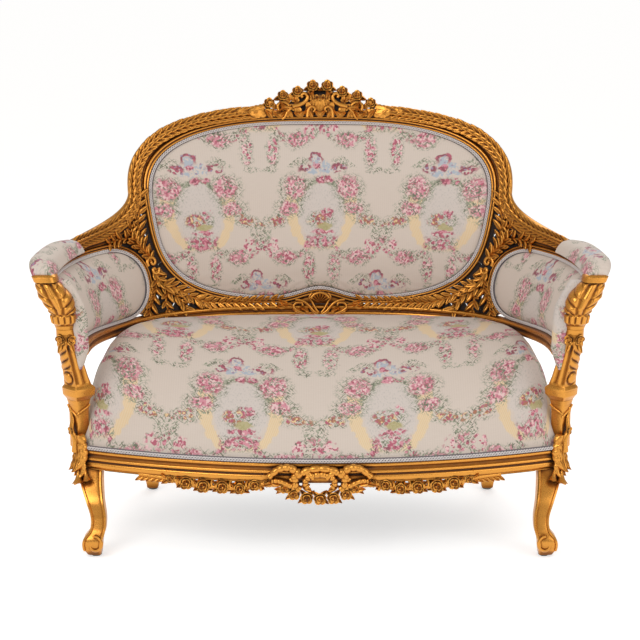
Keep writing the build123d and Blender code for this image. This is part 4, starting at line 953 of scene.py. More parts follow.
def brocade(name, tint):
    """Silk brocade: flower garlands and ribbons round pale medallions on an oyster ground."""
    board = Board(name)
    flat = board.node("ShaderNodeUVMap", {"uv_map": "cloth"})
    u, v = board.split("ShaderNodeSeparateXYZ", flat)[:2]
    step = ((v - ROW_EDGE) / ROW).maths("ROUND")
    sway = 1 - step.maths("FLOORED_MODULO", 2.0) * 2
    edge = step * ROW + ROW_EDGE + sway * 0.04 * (u * (2 * pi / REPEAT)).maths("COSINE")
    line = step + (v > edge)
    shift = line.maths("FLOORED_MODULO", 2.0) * 0.5
    column = (u / REPEAT - shift).maths("ROUND") + shift
    du = u - column * REPEAT
    dv = v - line * ROW
    wobble = board.vector("SUBTRACT", board.noise(flat, 70.0, 3.0, 1), (0.5, 0.5, 0.5))
    wobble = board.vector("MULTIPLY", wobble, (0.022, 0.022, 0.0))
    here = board.node("ShaderNodeCombineXYZ", {}, {0: du, 1: dv})
    fold = board.node("ShaderNodeCombineXYZ", {}, {0: abs(du), 1: dv})
    one = Medallion(board, board.vector("ADD", here, wobble))
    pair = Medallion(board, board.vector("ADD", fold, wobble))

    def cells(scale):
        """Small patches of thread: the distance to a patch's middle and two chances for each."""
        near = board.node("ShaderNodeTexVoronoi", {}, {"Vector": shaken, "Scale": scale})
        chances = Signal(board, near.socket.node.outputs["Color"])
        return [near] + board.split("ShaderNodeSeparateColor", chances)[:2]

    def petals(*colours):
        """Patches in four colours, from the most common to the rarest."""
        colour = tint[colours[0]]
        for place, name in zip((0.4, 0.74, 0.92), colours[1:]):
            colour = board.mix(patch > place, colour, tint[name])
        return colour

    def blades(angle):
        """Slender strokes that lean by an angle."""
        turned = board.node("ShaderNodeVectorRotate", {"rotation_type": "Z_AXIS"},
                            {"Vector": shaken, "Angle": angle})
        return board.noise(board.vector("MULTIPLY", turned, (105.0, 340.0, 1.0)), 1.0, 1.0)

    shaken = board.vector("ADD", flat, board.vector("MULTIPLY", wobble, (0.35, 0.35, 0.35)))
    patch, shade = cells(215.0)[1:]
    reach = cells(54.0)[0]
    near, pick_one, pick_two = cells(112.0)
    strokes = blades(0.8).maths("MAXIMUM", blades(-0.7))
    dots = board.smooth(strokes, 0.555, 0.6)
    leaf = board.mix(shade > 0.6, tint["leaf_green"], tint["leaf_dark"])
    full = petals("rose_pink", "rose_pale", "rose_deep", "leaf_dark")
    full = board.mix(board.smooth(reach, 0.26, 0.10) * 0.75, full, tint["rose_deep"])
    full = board.mix(board.smooth(reach, 0.44, 0.56) * dots, full, leaf)
    small = petals("rose_pink", "rose_deep", "burgundy", "rose_pale")
    warm = petals("russet", "rose_deep", "ribbon_yellow", "burgundy")
    drops = petals("rose_pale", "rose_deep", "rose_pink", "leaf_dark")
    bow = petals("ribbon_blue", "medallion", "ribbon_blue", "lilac")
    wine = petals("burgundy", "rose_deep", "burgundy", "lilac")
    stripes = ((du + dv * 0.35) * 1500.0).maths("SINE")
    gold_band = board.mix(board.smooth(stripes, -0.2, 0.8) * 0.55, tint["ribbon_yellow"], tint["cream"])
    heads = board.smooth(near, 0.62, 0.52)

    rib = board.smooth((u * (2 * pi / 0.0052)).maths("SINE"), 0.1, 0.9) * 0.16
    slub = board.noise(board.vector("MULTIPLY", flat, (40.0, 900.0, 1.0)), 1.0, 2.0)
    ground = board.mix(rib + slub * 0.25, tint["ground"], tint["ground_shade"])
    boughs = board.noise(board.vector("MULTIPLY", flat, (1.6, 0.8, 1.0)), 210.0, 3.0)
    inside = board.mix(board.smooth(boughs, 0.54, 0.64) * 0.42, tint["medallion"], tint["medallion_shade"])

    outer = one.reach(0.0, 0.006, 0.094, 0.125)
    inner = one.reach(0.0, -0.014, 0.063, 0.091)
    low = board.smooth(dv, 0.05, 0.03) * board.smooth(dv, -0.112, -0.096)
    horseshoe = board.smooth(outer, 1.03, 0.98) * board.smooth(inner, 0.98, 1.03) * low
    arch = board.smooth(one.reach(0.0, -0.014, 0.072, 0.095), 1.06, 0.96) * board.smooth(dv, 0.0, 0.02)
    arch = arch * board.smooth(one.reach(0.0, -0.014, 0.059, 0.081), 0.96, 1.04)
    swag = pair.ring(0.1625, 0.03, 0.076, 0.07, 0.01) * board.smooth(dv, -0.004, -0.018)
    festoon = pair.ring(0.095, -0.085, 0.062, 0.046, 0.01) * board.smooth(dv, -0.066, -0.08)
    loop = one.ring(-0.014, 0.124, 0.015, 0.017, 0.005) * board.smooth(dv, 0.112, 0.13)

    layers = (
        (one.spot(0.0, -0.014, 0.058, 0.08, 0.05), inside),
        (horseshoe * 0.85, gold_band),
        (arch * board.smooth(strokes, 0.46, 0.53), leaf),
        (swag * dots, leaf),
        (swag * heads * board.smooth(pick_two, 0.35, 0.45), warm),
        (festoon * dots, leaf),
        (festoon * heads * board.smooth(pick_one, 0.35, 0.45), small),
        (pair.spot(0.054, -0.118, 0.03, 0.01) * dots, leaf),
        (one.spot(0.0, -0.03, 0.04, 0.024) * dots, leaf),
        (one.spot(-0.012, -0.028, 0.026, 0.016) * heads, warm),
        (one.spot(0.016, -0.012, 0.016, 0.012) * heads, small),
        (one.spot(0.008, -0.047, 0.020, 0.009) * 0.8, tint["basket"]),
        (one.spot(0.004, -0.062, 0.03, 0.008) * heads, small),
        (one.spot(0.0, -0.088, 0.036, 0.022) * dots, leaf),
        (one.spot(0.0, -0.088, 0.032, 0.016) * heads, small),
        (pair.spot(0.072, 0.05, 0.044, 0.04) * dots, leaf),
        (pair.spot(0.07, 0.054, 0.029, 0.029, 0.2), full),
        (pair.spot(0.087, 0.000, 0.042, 0.026) * dots, leaf),
        (pair.spot(0.086, 0.000, 0.024, 0.017, 0.2), full),
        (pair.spot(0.122, -0.033, 0.036, 0.018) * dots, leaf),
        (pair.spot(0.12, -0.033, 0.022, 0.011) * heads, warm),
        (pair.spot(0.098, -0.128, 0.034, 0.024) * dots, leaf),
        (pair.spot(0.097, -0.127, 0.026, 0.018, 0.15), full),
        (pair.spot(0.13, -0.098, 0.017, 0.019) * heads, drops),
        (pair.spot(0.148, -0.064, 0.015, 0.03) * dots, leaf),
        (pair.spot(0.033, -0.158, 0.018, 0.042) * dots, leaf),
        (pair.spot(0.033, -0.156, 0.014, 0.034, 0.15) * heads, drops),
        (pair.spot(0.022, -0.205, 0.022, 0.009) * dots, leaf),
        (pair.spot(0.074, 0.12, 0.042, 0.014) * dots, leaf),
        (one.spot(-0.003, 0.072, 0.012, 0.01), small),
        (one.spot(0.022, 0.074, 0.012, 0.009) * heads, small),
        (one.spot(-0.006, 0.098, 0.04, 0.014, 0.3) * dots, bow),
        (one.spot(-0.024, 0.092, 0.014, 0.006) * 0.85, bow),
        (one.spot(0.014, 0.095, 0.014, 0.006) * 0.85, bow),
        (one.spot(-0.014, 0.122, 0.012, 0.014) * 0.85, bow),
        (one.spot(0.01, 0.112, 0.01, 0.008) * 0.85, bow),
        (loop, wine),
        (one.spot(-0.045, 0.104, 0.018, 0.012) * heads, wine),
        (one.spot(-0.012, 0.107, 0.01, 0.008), small),
        (one.spot(0.046, 0.104, 0.022, 0.012) * heads, wine),
    )
    colour = ground
    for mask, paint in layers:
        colour = board.mix(mask, colour, paint)
    colour = board.mix(slub * 0.22, colour, tint["ground_shade"])

    weave = (v * (2 * pi / 0.0011)).maths("SINE") * (u * (2 * pi / 0.0011)).maths("SINE")
    relief = weave * 0.25 + near * 0.5 + slub * 0.4
    return board.finish(Base_Color=colour, Roughness=0.66 + slub * 0.16, Sheen_Weight=0.18,
                        Sheen_Roughness=0.4, Normal=board.bump(0.16, 0.0008, relief))


PLAIN_FINISHES = {
    "bare_wood": (plain_wood, "b08a5c", "7d5a34"),
    "burlap": (woven, "a98f63", "6b5636", 0.0022),
    "webbing": (woven, "b9a27a", "7c6340", 0.0016),
    "lining": (woven, "3b3733", "1d1b19", 0.0012),
    "spring": (metal, "8d8f92", "5a5652", 0.32),
    "screw": (metal, "a8a49a", "6d6659", 0.28),
    "glide": (metal, "77736c", "4a463f", 0.4),
}


def material(finish):
    """A finish by its name, made once."""
    name = "settee_" + finish
    if name in bpy.data.materials:
        return bpy.data.materials[name]
    if finish in PLAIN_FINISHES:
        maker, pale, dark, *rest = PLAIN_FINISHES[finish]
        return maker(name, linear(pale), linear(dark), *rest)
    paint = bpy.context.scene.settee_colours
    tint = {key: list(getattr(paint, key)) for key in SetteeColours.__annotations__}
    gold, deep, shade = tint["gilt"], tint["gilt_deep"], tint["braid_shade"]
    makers = {
        "gilt": lambda: gilt(name, tint["gilt_bright"], gold, deep, 0.0),
        # The ground plates take a darker ramp and an even painted shade, so that they read as the shade in
        # the gaps behind the carving.
        "gilt_ground": lambda: gilt(name, gold, deep, [0.35 * value for value in deep], 0.42, gold),
        "brocade": lambda: brocade(name, tint),
        # The braid's dark colour is painted shade in its hollows.
        "braid": lambda: thread(name, tint["braid"], shade),
        # The tape under the braids is painted shade: a darker braid colour seen between the strands.
        "braid_ground": lambda: thread(name, shade, [0.5 * value for value in shade]),
    }
    return makers[finish]()


# Upholstery

def disc_grid(count, crowd=1.0):
    """A square grid of points drawn out to a disc: distances from the middle and directions."""
    side = np.linspace(-1, 1, count)
    x, y = np.meshgrid(side, side, indexing="ij")
    across, up = x * np.sqrt(1 - y ** 2 / 2), y * np.sqrt(1 - x ** 2 / 2)
    away = np.minimum(np.hypot(across, up), 1)
    return 1 - (1 - away) ** crowd, np.arctan2(up, across)


def fill_outline(first, second, middle, count, crowd=1.0):
    """A grid over a closed outline: two coordinates of each point, and its distance to the middle."""
    away, heading = disc_grid(count, crowd)
    across, up = first - middle[0], second - middle[1]
    directions = np.arctan2(up, across)
    order = np.argsort(directions)
    reach = away * np.interp(heading, directions[order], np.hypot(up, across)[order], period=2 * pi)
    return middle[0] + reach * np.cos(heading), middle[1] + reach * np.sin(heading), away


def cover(name, top, bottom, flat, nodes, pressure, cap):
    """A stuffed cover: two grids sewn at their border, swelled, with its cloth laid flat as a map."""
    mesh = Piece().sheet(top, bottom).mesh(name)
    swell(mesh, top.shape[:2], pressure, cap)
    layer = mesh.uv_layers.new(name="cloth")
    corners = read(mesh.loops, "vertex_index", 1, int).ravel()
    places = np.tile(flat.reshape(-1, 2), (2, 1))
    layer.data.foreach_set("uv", places[corners].astype(np.float32).ravel())
    thing = stand(mesh, name, material("brocade"), nodes)
    finer = thing.modifiers.new("Finer", "SUBSURF")
    finer.levels = 1
    finer.render_levels = 1


SWELL_FRAMES = 20


def swell(mesh, size, pressure, cap):
    """Let the stuffing press the cover out, held where it is tacked, by no more than the cap."""
    scene = bpy.context.scene
    thing = bpy.data.objects.new(mesh.name, mesh)
    scene.collection.objects.link(thing)
    held = np.ones((2, *size), bool)
    held[0, 2:-2, 2:-2] = False
    tacked = thing.vertex_groups.new(name="tacked")
    tacked.add(np.flatnonzero(held).tolist(), 1.0, "REPLACE")
    cloth = thing.modifiers.new("Stuffing", "CLOTH")
    cloth.settings.use_pressure = True
    cloth.settings.uniform_pressure_force = pressure
    cloth.settings.vertex_group_mass = "tacked"
    cloth.settings.effector_weights.gravity = 0
    cloth.settings.quality = 4
    cloth.collision_settings.use_collision = False
    cloth.point_cache.frame_end = SWELL_FRAMES
    for number in range(1, SWELL_FRAMES + 1):
        scene.frame_set(number)
    before = read(mesh.vertices, "co")
    ready = thing.evaluated_get(bpy.context.evaluated_depsgraph_get())
    move = read(ready.data.vertices, "co") - before
    length = np.maximum(np.linalg.norm(move, axis=1, keepdims=True), 1e-9)
    thing.modifiers.remove(cloth)
    mesh.vertices.foreach_set("co", (before + move * np.minimum(1, cap / length)).ravel())
    mesh.update()
    scene.frame_set(1)
    bpy.data.objects.remove(thing)


def pillow(away, edge=4.0, shoulder=0.55):
    """The crown of a stuffed panel, 1 in the middle and 0 at its edge."""
    return (1 - np.clip(away, 0, 1) ** edge) ** shoulder


class SETTEE_OT_seat(bpy.types.Operator):
    """Build the crowned seat in its brocade cover"""

    bl_idname = "settee.seat"
    bl_label = "Seat"

    def execute(self, context):
        size = context.scene.settee_sizes
        half = COVER_HALF_FRONT - SEAT_INSET
        crown = SEAT_CROWN - SEAT_RAIL_TOP
        x, y = fill_outline(*seat_outline(SEAT_INSET, 400), (0.0, FEET_LINE + 0.2), 97, 1.25)[:2]
        front, rear = seat_span(x, SEAT_INSET)
        share = np.clip((y - front) / (rear - front), 0, 1)
        across = np.clip(np.abs(x) / half, 0, 1)
        rise = (crown - 0.004) * np.sqrt(1 - across ** DOME_SIDE) * dome(share)
        steps = np.linspace(0, 1, 400)
        middle_front, middle_rear = seat_span(np.zeros(1), SEAT_INSET)
        deep = middle_rear - middle_front
        length = distances(joined(steps * deep, crown * np.where(steps < SEAT_PEAK, dome(steps), 1.0)))
        side = distances(joined(steps * half, crown * np.sqrt(1 - steps ** DOME_SIDE)))
        past = np.clip((share - SEAT_PEAK) / (1 - SEAT_PEAK), 0, 1)
        fall = crown * (1 - np.sqrt(1 - past ** 2))
        aside = np.clip((np.abs(x) - SEAT_HALF_REAR + 0.03) / 0.06, 0, 1)
        behind = np.interp(np.clip((y - front) / deep, 0, 1), steps, length)
        flat_u = np.sign(x) * (np.interp(across, steps, side) + aside * fall) / size.seat_cloth_scale + 0.01
        flat_v = (behind + (1 - aside) * fall - size.seat_cloth_start) / size.seat_cloth_scale
        cover("seat_cover", joined(x, y, SEAT_RAIL_TOP + rise), joined(x, y, SEAT_RAIL_TOP + 0.0005),
              joined(flat_u, flat_v), ["seat_cushion"], 2.0, 0.006)
        return {"FINISHED"}


class SETTEE_OT_back(bpy.types.Operator):
    """Build the stuffed inside back and the tight outside back"""

    bl_idname = "settee.back"
    bl_label = "Back panels"

    def execute(self, context):
        size = context.scene.settee_sizes
        angles = oval_angles(240)
        middle = (0.0, OVAL_HEIGHT + 0.01)
        for name, node, grow, edge, crown, foot, pressure in (
                ("back_cover", "back_cushion", -0.0070, -0.004, 0.004 - size.back_crown, 0.003, 1.0),
                ("back_outside_cover", "back_outer", -0.002, 0.013, 0.007, 0.009, 0.3)):
            run, height = oval(angles, grow)
            runs, heights = np.concatenate([run, -run[::-1]]), np.concatenate([height, height[::-1]])
            run, height, away = fill_outline(runs, heights, middle, 89)
            top = shell(run, height, edge + crown * pillow(away))
            flat = joined(run - 0.004, height - size.back_cloth_centre)
            cover(name, top, shell(run, height, foot), flat, [node], pressure, 0.005)
        return {"FINISHED"}


class SETTEE_OT_arms(bpy.types.Operator):
    """Build the arms' inside panels, outside panels and pads"""

    bl_idname = "settee.arms"
    bl_label = "Arm upholstery"

    def execute(self, context):
        size = context.scene.settee_sizes
        middle = ((ARM_END_RUN + ARM_FRONT_RUN) / 2 - 0.03, (ARM_TOP + BOTTOM_RAIL_TOP) / 2)
        for side, word in ((1, "left"), (-1, "right")):
            for name, node, grow, edge, crown, foot in (
                    ("arm_cover_", "arm_cushion_", -0.0070, -0.004, 0.004 - size.arm_crown, 0.003),
                    ("arm_outside_cover_", "arm_outer_", -0.002, 0.013, 0.024, 0.007)):
                run, height, away = fill_outline(*arm_outline(grow), middle, 57)
                top = shell(side * run, height, edge + crown * pillow(away, 3.0, 0.6))
                flat = joined(side * (run - size.arm_cloth_run), height - size.arm_cloth_centre)
                cover(name + word, top, shell(side * run, height, foot), flat, [node + word], 0.8, 0.004)
            self.pad(side, word)
            self.border(side, word)
        return {"FINISHED"}

    def border(self, side, word):
        """The strip of cloth behind the post, from the pad down past the bottom rail."""
        height = np.linspace(0.438, 0.655, 40)[:, None]
        share = np.linspace(0, 1, 9)
        wide = np.interp(height, (0.438, 0.49, 0.56, 0.655), (0.016, 0.044, 0.05, 0.046))
        x = side * (post_middle(height)[0] - 0.004 - wide * share)
        swollen = 0.006 * np.sin(pi * share) ** 0.6
        top = joined(x, FEET_LINE + 0.046 + 0.01 * share - swollen, height)
        bottom = joined(x, FEET_LINE + 0.066, height)
        cover("arm_border_" + word, top, bottom, joined(x + 0.05, height), (), 0.3, 0.002)

    def pad(self, side, word):
        """A stuffed saddle over the arm rail that rolls down at the front."""
        run = np.linspace(ARM_RAIL_RUN + JOINT_GAP, ARM_FRONT_RUN + 0.04, 40)[:, None]
        past = np.clip((run - ARM_FRONT_RUN + 0.02) / 0.06, 0, 1)
        start = np.sin(np.clip((run - ARM_RAIL_RUN) / 0.1, 0, 1) * pi / 2)
        round_off = np.sqrt(np.maximum(1 - past ** 2.4, 0.0))
        high = (RAIL_END_HIGH + 0.008 * start - RAIL_END_LOW) * (0.3 + 0.7 * round_off)
        half = (0.025 + 0.004 * start) * (0.72 + 0.28 * round_off)
        turn = np.linspace(0, pi, 25)
        out = -half * signed_power(np.cos(turn), 0.75)
        top = shell(side * run, RAIL_END_LOW + high * np.sin(turn) ** 0.62, out)
        bottom = shell(side * run, RAIL_END_LOW, out * 0.97)
        around = np.cumsum(np.linalg.norm(np.diff(top, axis=1, prepend=top[:, :1]), axis=2), axis=1)
        flat = joined(side * run + 0.07, around + 0.05)
        cover("arm_pad_cover_" + word, top, bottom, flat, ["arm_pad_" + word], 0.6, 0.003)


# Wooden frame

# Height, distance aside and behind, width and depth of a front leg
LEG_STATIONS = (
    (0.245, 0, 0.031, 0.056, 0.056),
    (0.198, 0, 0.030, 0.056, 0.056),
    (0.168, -0.003, 0.010, 0.052, 0.056),
    (0.131, -0.014, -0.023, 0.041, 0.044),
    (0.095, -0.023, -0.037, 0.035, 0.038),
    (0.067, -0.022, -0.046, 0.036, 0.042),
    (0.046, -0.011, -0.052, 0.046, 0.056),
    (0.024, -0.009, -0.051, 0.044, 0.054),
    (0.006, -0.012, -0.048, 0.033, 0.038),
)


class SETTEE_OT_seat_frame(bpy.types.Operator):
    """Build the moulded front rail and the scroll-footed front legs"""

    bl_idname = "settee.seat_frame"
    bl_label = "Front rail and legs"

    def execute(self, context):
        self.front_rail()
        self.front_legs()
        return {"FINISHED"}

    def front_rail(self):
        """A bowed rail with a bead, two grooves and a fascia."""
        low = RAIL_BOTTOM - SEAT_RAIL_TOP
        profile = rounded(
            (RAIL_DEPTH, low), (RAIL_DEPTH, 0), (0.004, 0), (0, -0.002), (0, -0.007), (0.004, -0.01),
            (0.006, -0.014), (0.002, -0.018), (0, -0.02), (0, -0.024), (0.004, -0.026), (0.004, -0.029),
            (0, -0.031), (0, -0.041), (0.003, -0.044), (0.002, low))
        x = np.linspace(-RAIL_HALF, RAIL_HALF, 120)
        inward = unit(joined(-np.gradient(front_bow(x), x), 1.0, 0.0))
        sections = swept(joined(x, front_bow(x), SEAT_RAIL_TOP), inward, UP, profile)
        carve(Piece().loft(sections), "front_rail_moulded", ["front_rail"])

    def front_legs(self):
        """Cabriole legs with a raised edge line and a volute on the foot."""
        stations = np.array(LEG_STATIONS)
        fine = smooth_line(stations, 60)
        fine[:, 0] = np.interp(np.linspace(0, 1, 60), np.linspace(0, 1, len(stations)), stations[:, 0])
        height, aside, behind, wide, deep = fine.T[:, :, None]
        x, y = FRONT_LEG_X + aside, FEET_LINE + FRONT_LEG_Y + behind
        turn = np.linspace(0, 2 * pi, 48, endpoint=False)
        leg = Piece().loft(joined(x + wide / 2 * signed_power(np.cos(turn), 0.4),
                                  y + deep / 2 * signed_power(np.sin(turn), 0.4), height))
        for edge in (-0.42, 0.42):
            leg.tube(np.hstack([x + edge * wide, y - 0.47 * deep, height])[8:54], 0.0035, 6)
        across, up = scroll_line((0.0, 0.02), (0.0, 0.0), 1.6).T
        ahead = FEET_LINE - np.linspace(0.0305, 0.0265, VOLUTE_POINTS)
        leg.tube(joined(FRONT_FOOT_X + across * 0.9, ahead, 0.036 + up),
                 np.linspace(0.0045, 0.003, VOLUTE_POINTS), 6)
        carve_pair(leg, "front_leg")


# Height, width, depth and squareness of a post; below 2 it stands cornerwise, at 2 it is round
POST_STATIONS = (
    (0.245, 0.046, 0.046, 1.25),
    (0.330, 0.046, 0.046, 1.25),
    (0.352, 0.050, 0.050, 1.25),
    (0.364, 0.056, 0.054, 1.25),
    (0.376, 0.076, 0.070, 1.25),
    (0.393, 0.079, 0.072, 1.25),
    (0.401, 0.064, 0.058, 1.25),
    (0.420, 0.058, 0.052, 1.30),
    (0.460, 0.052, 0.047, 1.35),
    (0.500, 0.047, 0.043, 1.50),
    (0.512, 0.047, 0.044, 1.80),
    (0.528, 0.043, 0.036, 2.00),
    (0.541, 0.041, 0.034, 2.00),
    (0.551, 0.046, 0.040, 2.00),
    (0.556, 0.053, 0.049, 2.00),
    (0.573, 0.056, 0.054, 2.00),
    (0.579, 0.053, 0.054, 2.00),
    (0.596, 0.064, 0.066, 2.20),
    (0.620, 0.075, 0.064, 2.40),
    (0.645, 0.061, 0.050, 2.60),
    (0.655, 0.050, 0.042, 3.00),
    (0.656, 0.056, 0.056, 3.00),
    (0.668, 0.058, 0.058, 3.00),
    (0.673, 0.050, 0.050, 3.00),
)


def window(value, low, high, soft):
    """1 between two heights and 0 outside, with soft ends."""
    return ease(np.clip((value - low) / soft, 0, 1) * np.clip((high - value) / soft, 0, 1))


def post_relief(height, turn):
    """How far the carving stands out of a post; the turn is 0 at its front and grows outwards."""
    side = np.abs(turn) / (pi / 2)
    front = np.clip((1.25 - side) / 0.25, 0, 1)
    down = np.clip((0.655 - height) / 0.077, 0, 1)
    lobe = np.abs(np.sin(pi * (3.6 * down + 1.2 * side))) ** 0.7 - 0.45
    leaf = 0.003 * np.exp(-((side / 0.09) ** 2)) - 0.0034 * np.exp(-(((side - 0.19) / 0.07) ** 2))
    leaf = leaf + (0.0026 + 0.0056 * down ** 1.5) * lobe * np.clip((side - 0.12) / 0.2, 0, 1)
    relief = leaf * front * window(height, 0.578, 0.655, 0.005)
    fingers = np.abs(np.cos(5.5 * turn)) ** 0.6 - 0.5
    relief = relief + 0.0056 * fingers * window(height, 0.554, 0.577, 0.004)
    outer = np.where(turn > 0, side, 0)
    inner = np.where(turn < 0, side, 0)
    blades = np.abs(np.sin(pi * ((height - 0.436) / 0.019 + 1.2 * outer))) ** 0.8 - 0.45
    face = np.sin(pi * np.clip(outer, 0, 1)) ** 0.6
    relief = relief + 0.0056 * blades * face * window(height, 0.436, 0.506, 0.005)
    oval_reach = np.sqrt(((height - 0.42) / 0.0135) ** 2 + ((outer - 0.5) / 0.26) ** 2)
    bead = 0.004 * np.sqrt(np.clip(1 - oval_reach ** 2, 0, 1))
    bead = bead - 0.0022 * np.exp(-(((oval_reach - 1.15) / 0.2) ** 2))
    relief = relief + bead * window(height, 0.4, 0.442, 0.003) * (turn > 0)
    reeds = 0.0022 * np.cos(2 * pi * 2.5 * inner) * np.sin(pi * np.clip(inner, 0, 1)) ** 0.5
    relief = relief + reeds * window(height, 0.402, 0.508, 0.008)
    return relief + 0.0022 * np.exp(-((turn / 0.16) ** 2)) * window(height, 0.402, 0.508, 0.006)


class SETTEE_OT_posts(bpy.types.Operator):
    """Build the carved arm posts and the knee drops beside the legs"""

    bl_idname = "settee.posts"
    bl_label = "Arm posts"

    def execute(self, context):
        self.posts()
        self.knees()
        return {"FINISHED"}

    def skin(self, height, turn, proud=0.0):
        """Points on a post by height and by turn from its front."""
        heights, *measures = np.transpose(POST_STATIONS)
        wide, deep, square = (np.interp(height, heights, measure) for measure in measures)
        x = wide / 2 * signed_power(np.sin(turn), 2 / square)
        y = -deep / 2 * signed_power(np.cos(turn), 2 / square)
        grow = 1 + (post_relief(height, turn) + proud) / np.hypot(x, y)
        middle_x, middle_y = post_middle(height)
        return joined(middle_x + x * grow, middle_y + y * grow, height)

    def posts(self):
        """Shaft with a ribbon, flared block, leaf blades and bead, flowers, fluted cuff, leaf and cap."""
        heights = np.unique(np.concatenate([np.linspace(0.245, 0.673, 300), np.transpose(POST_STATIONS)[0]]))
        post = Piece().loft(self.skin(heights[:, None], np.linspace(-pi, pi, 96, endpoint=False)))
        rose, leaf = rose_shape(), leaf_shape(0.5, 0.12, 0.2)
        for height, turn, radius in ((0.517, 0.55, 0.0125), (0.516, -0.65, 0.012)):
            facing = (sin(turn), -cos(turn), 0.15)
            post.place(rose, self.skin(height, turn, -0.004), (0.2, 0, 1), facing, radius)
            below = self.skin(height - 0.006, turn, -0.001)
            post.place(leaf, below, (0.3 * sin(turn), 0, -1), facing, 0.026)
        for start, low in ((-1.5, 0.33), (1.5, 0.322)):
            post.tube(self.skin(np.linspace(0.35, low, 24), np.linspace(start, 0.0, 24), 0.0005), 0.003)
        carve_pair(post, "arm_post")

    def knees(self):
        """A vine that runs down to a broad drop leaf and two trumpet flowers over the leg's corner."""
        knee = Piece()
        broad, slim, trumpet = acanthus_shape(4, 0.66, 34, 15), acanthus_shape(3, 0.5, 16, 7), trumpet_shape()
        x = FRONT_LEG_X + FRONT_LEG_BLOCK / 2
        y = FEET_LINE + FRONT_LEG_Y + 0.004
        corner = (0.72, -0.7, 0.0)
        vine = np.array([(0.018, 0.016, 0.345), (0.012, 0.008, 0.318), (0.014, 0.002, 0.292),
                         (0.006, -0.002, 0.27), (0.006, -0.004, 0.24)]) + [x, y, 0]
        knee.tube(smooth_line(vine, 30), np.linspace(0.004, 0.009, 30), facing=(1, 0, 0))
        knee.place(rose_shape(), (x + 0.013, y, 0.292), UP, corner, 0.01)
        for aside, top, length, wide in ((0.0, 0.282, 0.086, 0.066), (-0.01, 0.262, 0.06, 0.04),
                                         (0.008, 0.262, 0.062, 0.04)):
            place = (x - 0.003 + aside * 0.7, y + aside * 0.7, top)
            knee.place(broad, place, (aside * 2 - 0.06, aside * 2 - 0.02, -1), corner, (length, wide, 0.13))
        for aside in (-0.01, 0.006):
            place = (x - 0.002 + aside * 0.7, y + aside * 0.7 - 0.006, 0.228)
            knee.place(slim, place, (aside * 5 - 0.12, -0.12, -1), corner, (0.044, 0.036, 0.07))
        for aside, reach in ((-0.014, 0.036), (0.004, 0.04)):
            place = (x - 0.004 + aside * 0.8, y - 0.014, 0.206)
            knee.place(trumpet, place, (aside * 12 - 0.1, -0.45, -1), corner, reach)
        carve_pair(knee, "knee_carving")


# Run where the back's bottom rail meets those of the arms
RAIL_JOINT = 0.55


def frame_bottom_rail():
    """The ridged moulding round the seat's rear and sides."""
    tall = BOTTOM_RAIL_HEIGHT
    profile = rounded((0, 0.016), (tall, 0.016), (tall, -0.009), (tall - 0.003, -0.014),
                      (tall - 0.008, -0.014), (tall - 0.012, -0.009), (tall - 0.016, -0.01),
                      (tall - 0.018, -0.014), (0.005, -0.0155), (0.001, -0.012))
    arm = np.linspace(RAIL_JOINT + HAIRLINE, ARM_FRONT_RUN, 50)
    for name, word, runs in (("back_bottom_rail", "", np.linspace(-RAIL_JOINT, RAIL_JOINT, 110)),
                             ("arm_bottom_rail", "_left", arm), ("arm_bottom_rail", "_right", -arm[::-1])):
        base = BOTTOM_RAIL_BASE + sill_rise(runs)
        sections = swept(shell(runs, base), UP, shell_normal(runs, base), profile)
        carve(Piece().loft(sections), name + "_moulded" + word, [name + word])


RING_PROFILE = rounded((0, 0.016), (1, 0.016), (1, -0.007), (0.86, -0.013), (0.62, -0.014), (0.5, -0.0105),
                       (0.36, -0.0105), (0.22, -0.013), (0.06, -0.012), (0, -0.008))
TOP_PROFILE = rounded((0, 0.016), (0.7, 0.016), (1, 0.006), (1, -0.003), (0.86, -0.01), (0.72, -0.0105),
                      (0.4, -0.0105), (0.3, -0.0155), (0.2, -0.0155), (0.14, -0.0085), (0.06, -0.0085),
                      (0, -0.011))


def top_rail_edges():
    """The lower and upper line of the left top rail, from the crest to the arm."""
    start = oval_angle(CREST_HALF_RUN + HAIRLINE)
    angles = oval_angles(400)
    angles = np.concatenate([[start], angles[(angles > start) & (angles < SHOULDER_ANGLE)][::2]])
    width = np.interp(angles, (start, SHOULDER_ANGLE), (CREST_END_HEIGHT, TOP_RAIL_WIDTH))
    share = np.linspace(0, 1, 60)
    return (np.hstack([oval(angles, RAIL_GROW), rail_low(share)]),
            np.hstack([oval(angles, RAIL_GROW + width), rail_high(share)]))


class SETTEE_OT_mouldings(bpy.types.Operator):
    """Build the rings round the panels, the top rails with their bay-leaf band, and the bottom rails"""

    bl_idname = "settee.mouldings"
    bl_label = "Rails and rings"

    def execute(self, context):
        size = context.scene.settee_sizes
        frame_bottom_rail()
        angles = oval_angles(150)
        carve_pair(Piece().loft(band(oval(angles), oval(angles, RING_WIDTH), RING_PROFILE)), "back_ring")

        turn = np.linspace(2.58, 0, 50)
        straight = np.linspace(ARM_END_RUN, ARM_FRONT_RUN, 40)[1:]
        inner, outer = (np.hstack([arm_end(turn, grow), (straight, np.full(39, ARM_TOP + grow))])
                        for grow in (0.0, ARM_RING_WIDTH))
        carve_pair(Piece().loft(band(inner, outer, RING_PROFILE)), "arm_ring")

        low, high = top_rail_edges()
        carve_pair(Piece().loft(band(low, high, TOP_PROFILE)), "top_rail")
        run, height = (low + (high - low) * 0.66)[:, ::-1]
        bay, leaf = Piece(), leaf_shape(0.52, 0.16, 0.22)
        for lean, aside, lift in ((0.42, 0.1, 0.0), (-0.42, -0.1, 0.0), (0.0, 0.0, 0.1)):
            bay.place(leaf, (-0.5, aside, lift), (1, lean, 0), UP, (1.15, 0.95, 1))
        path = shell(run, height, -0.01), shell_axes(run, height)[2]
        row("top_rail_bay_leaves", both_sides([path]), bay.shape(), size.bay_leaf * 0.62, size.bay_leaf,
            variation=0.05, seed=3)
        return {"FINISHED"}


# Pierced and applied carving

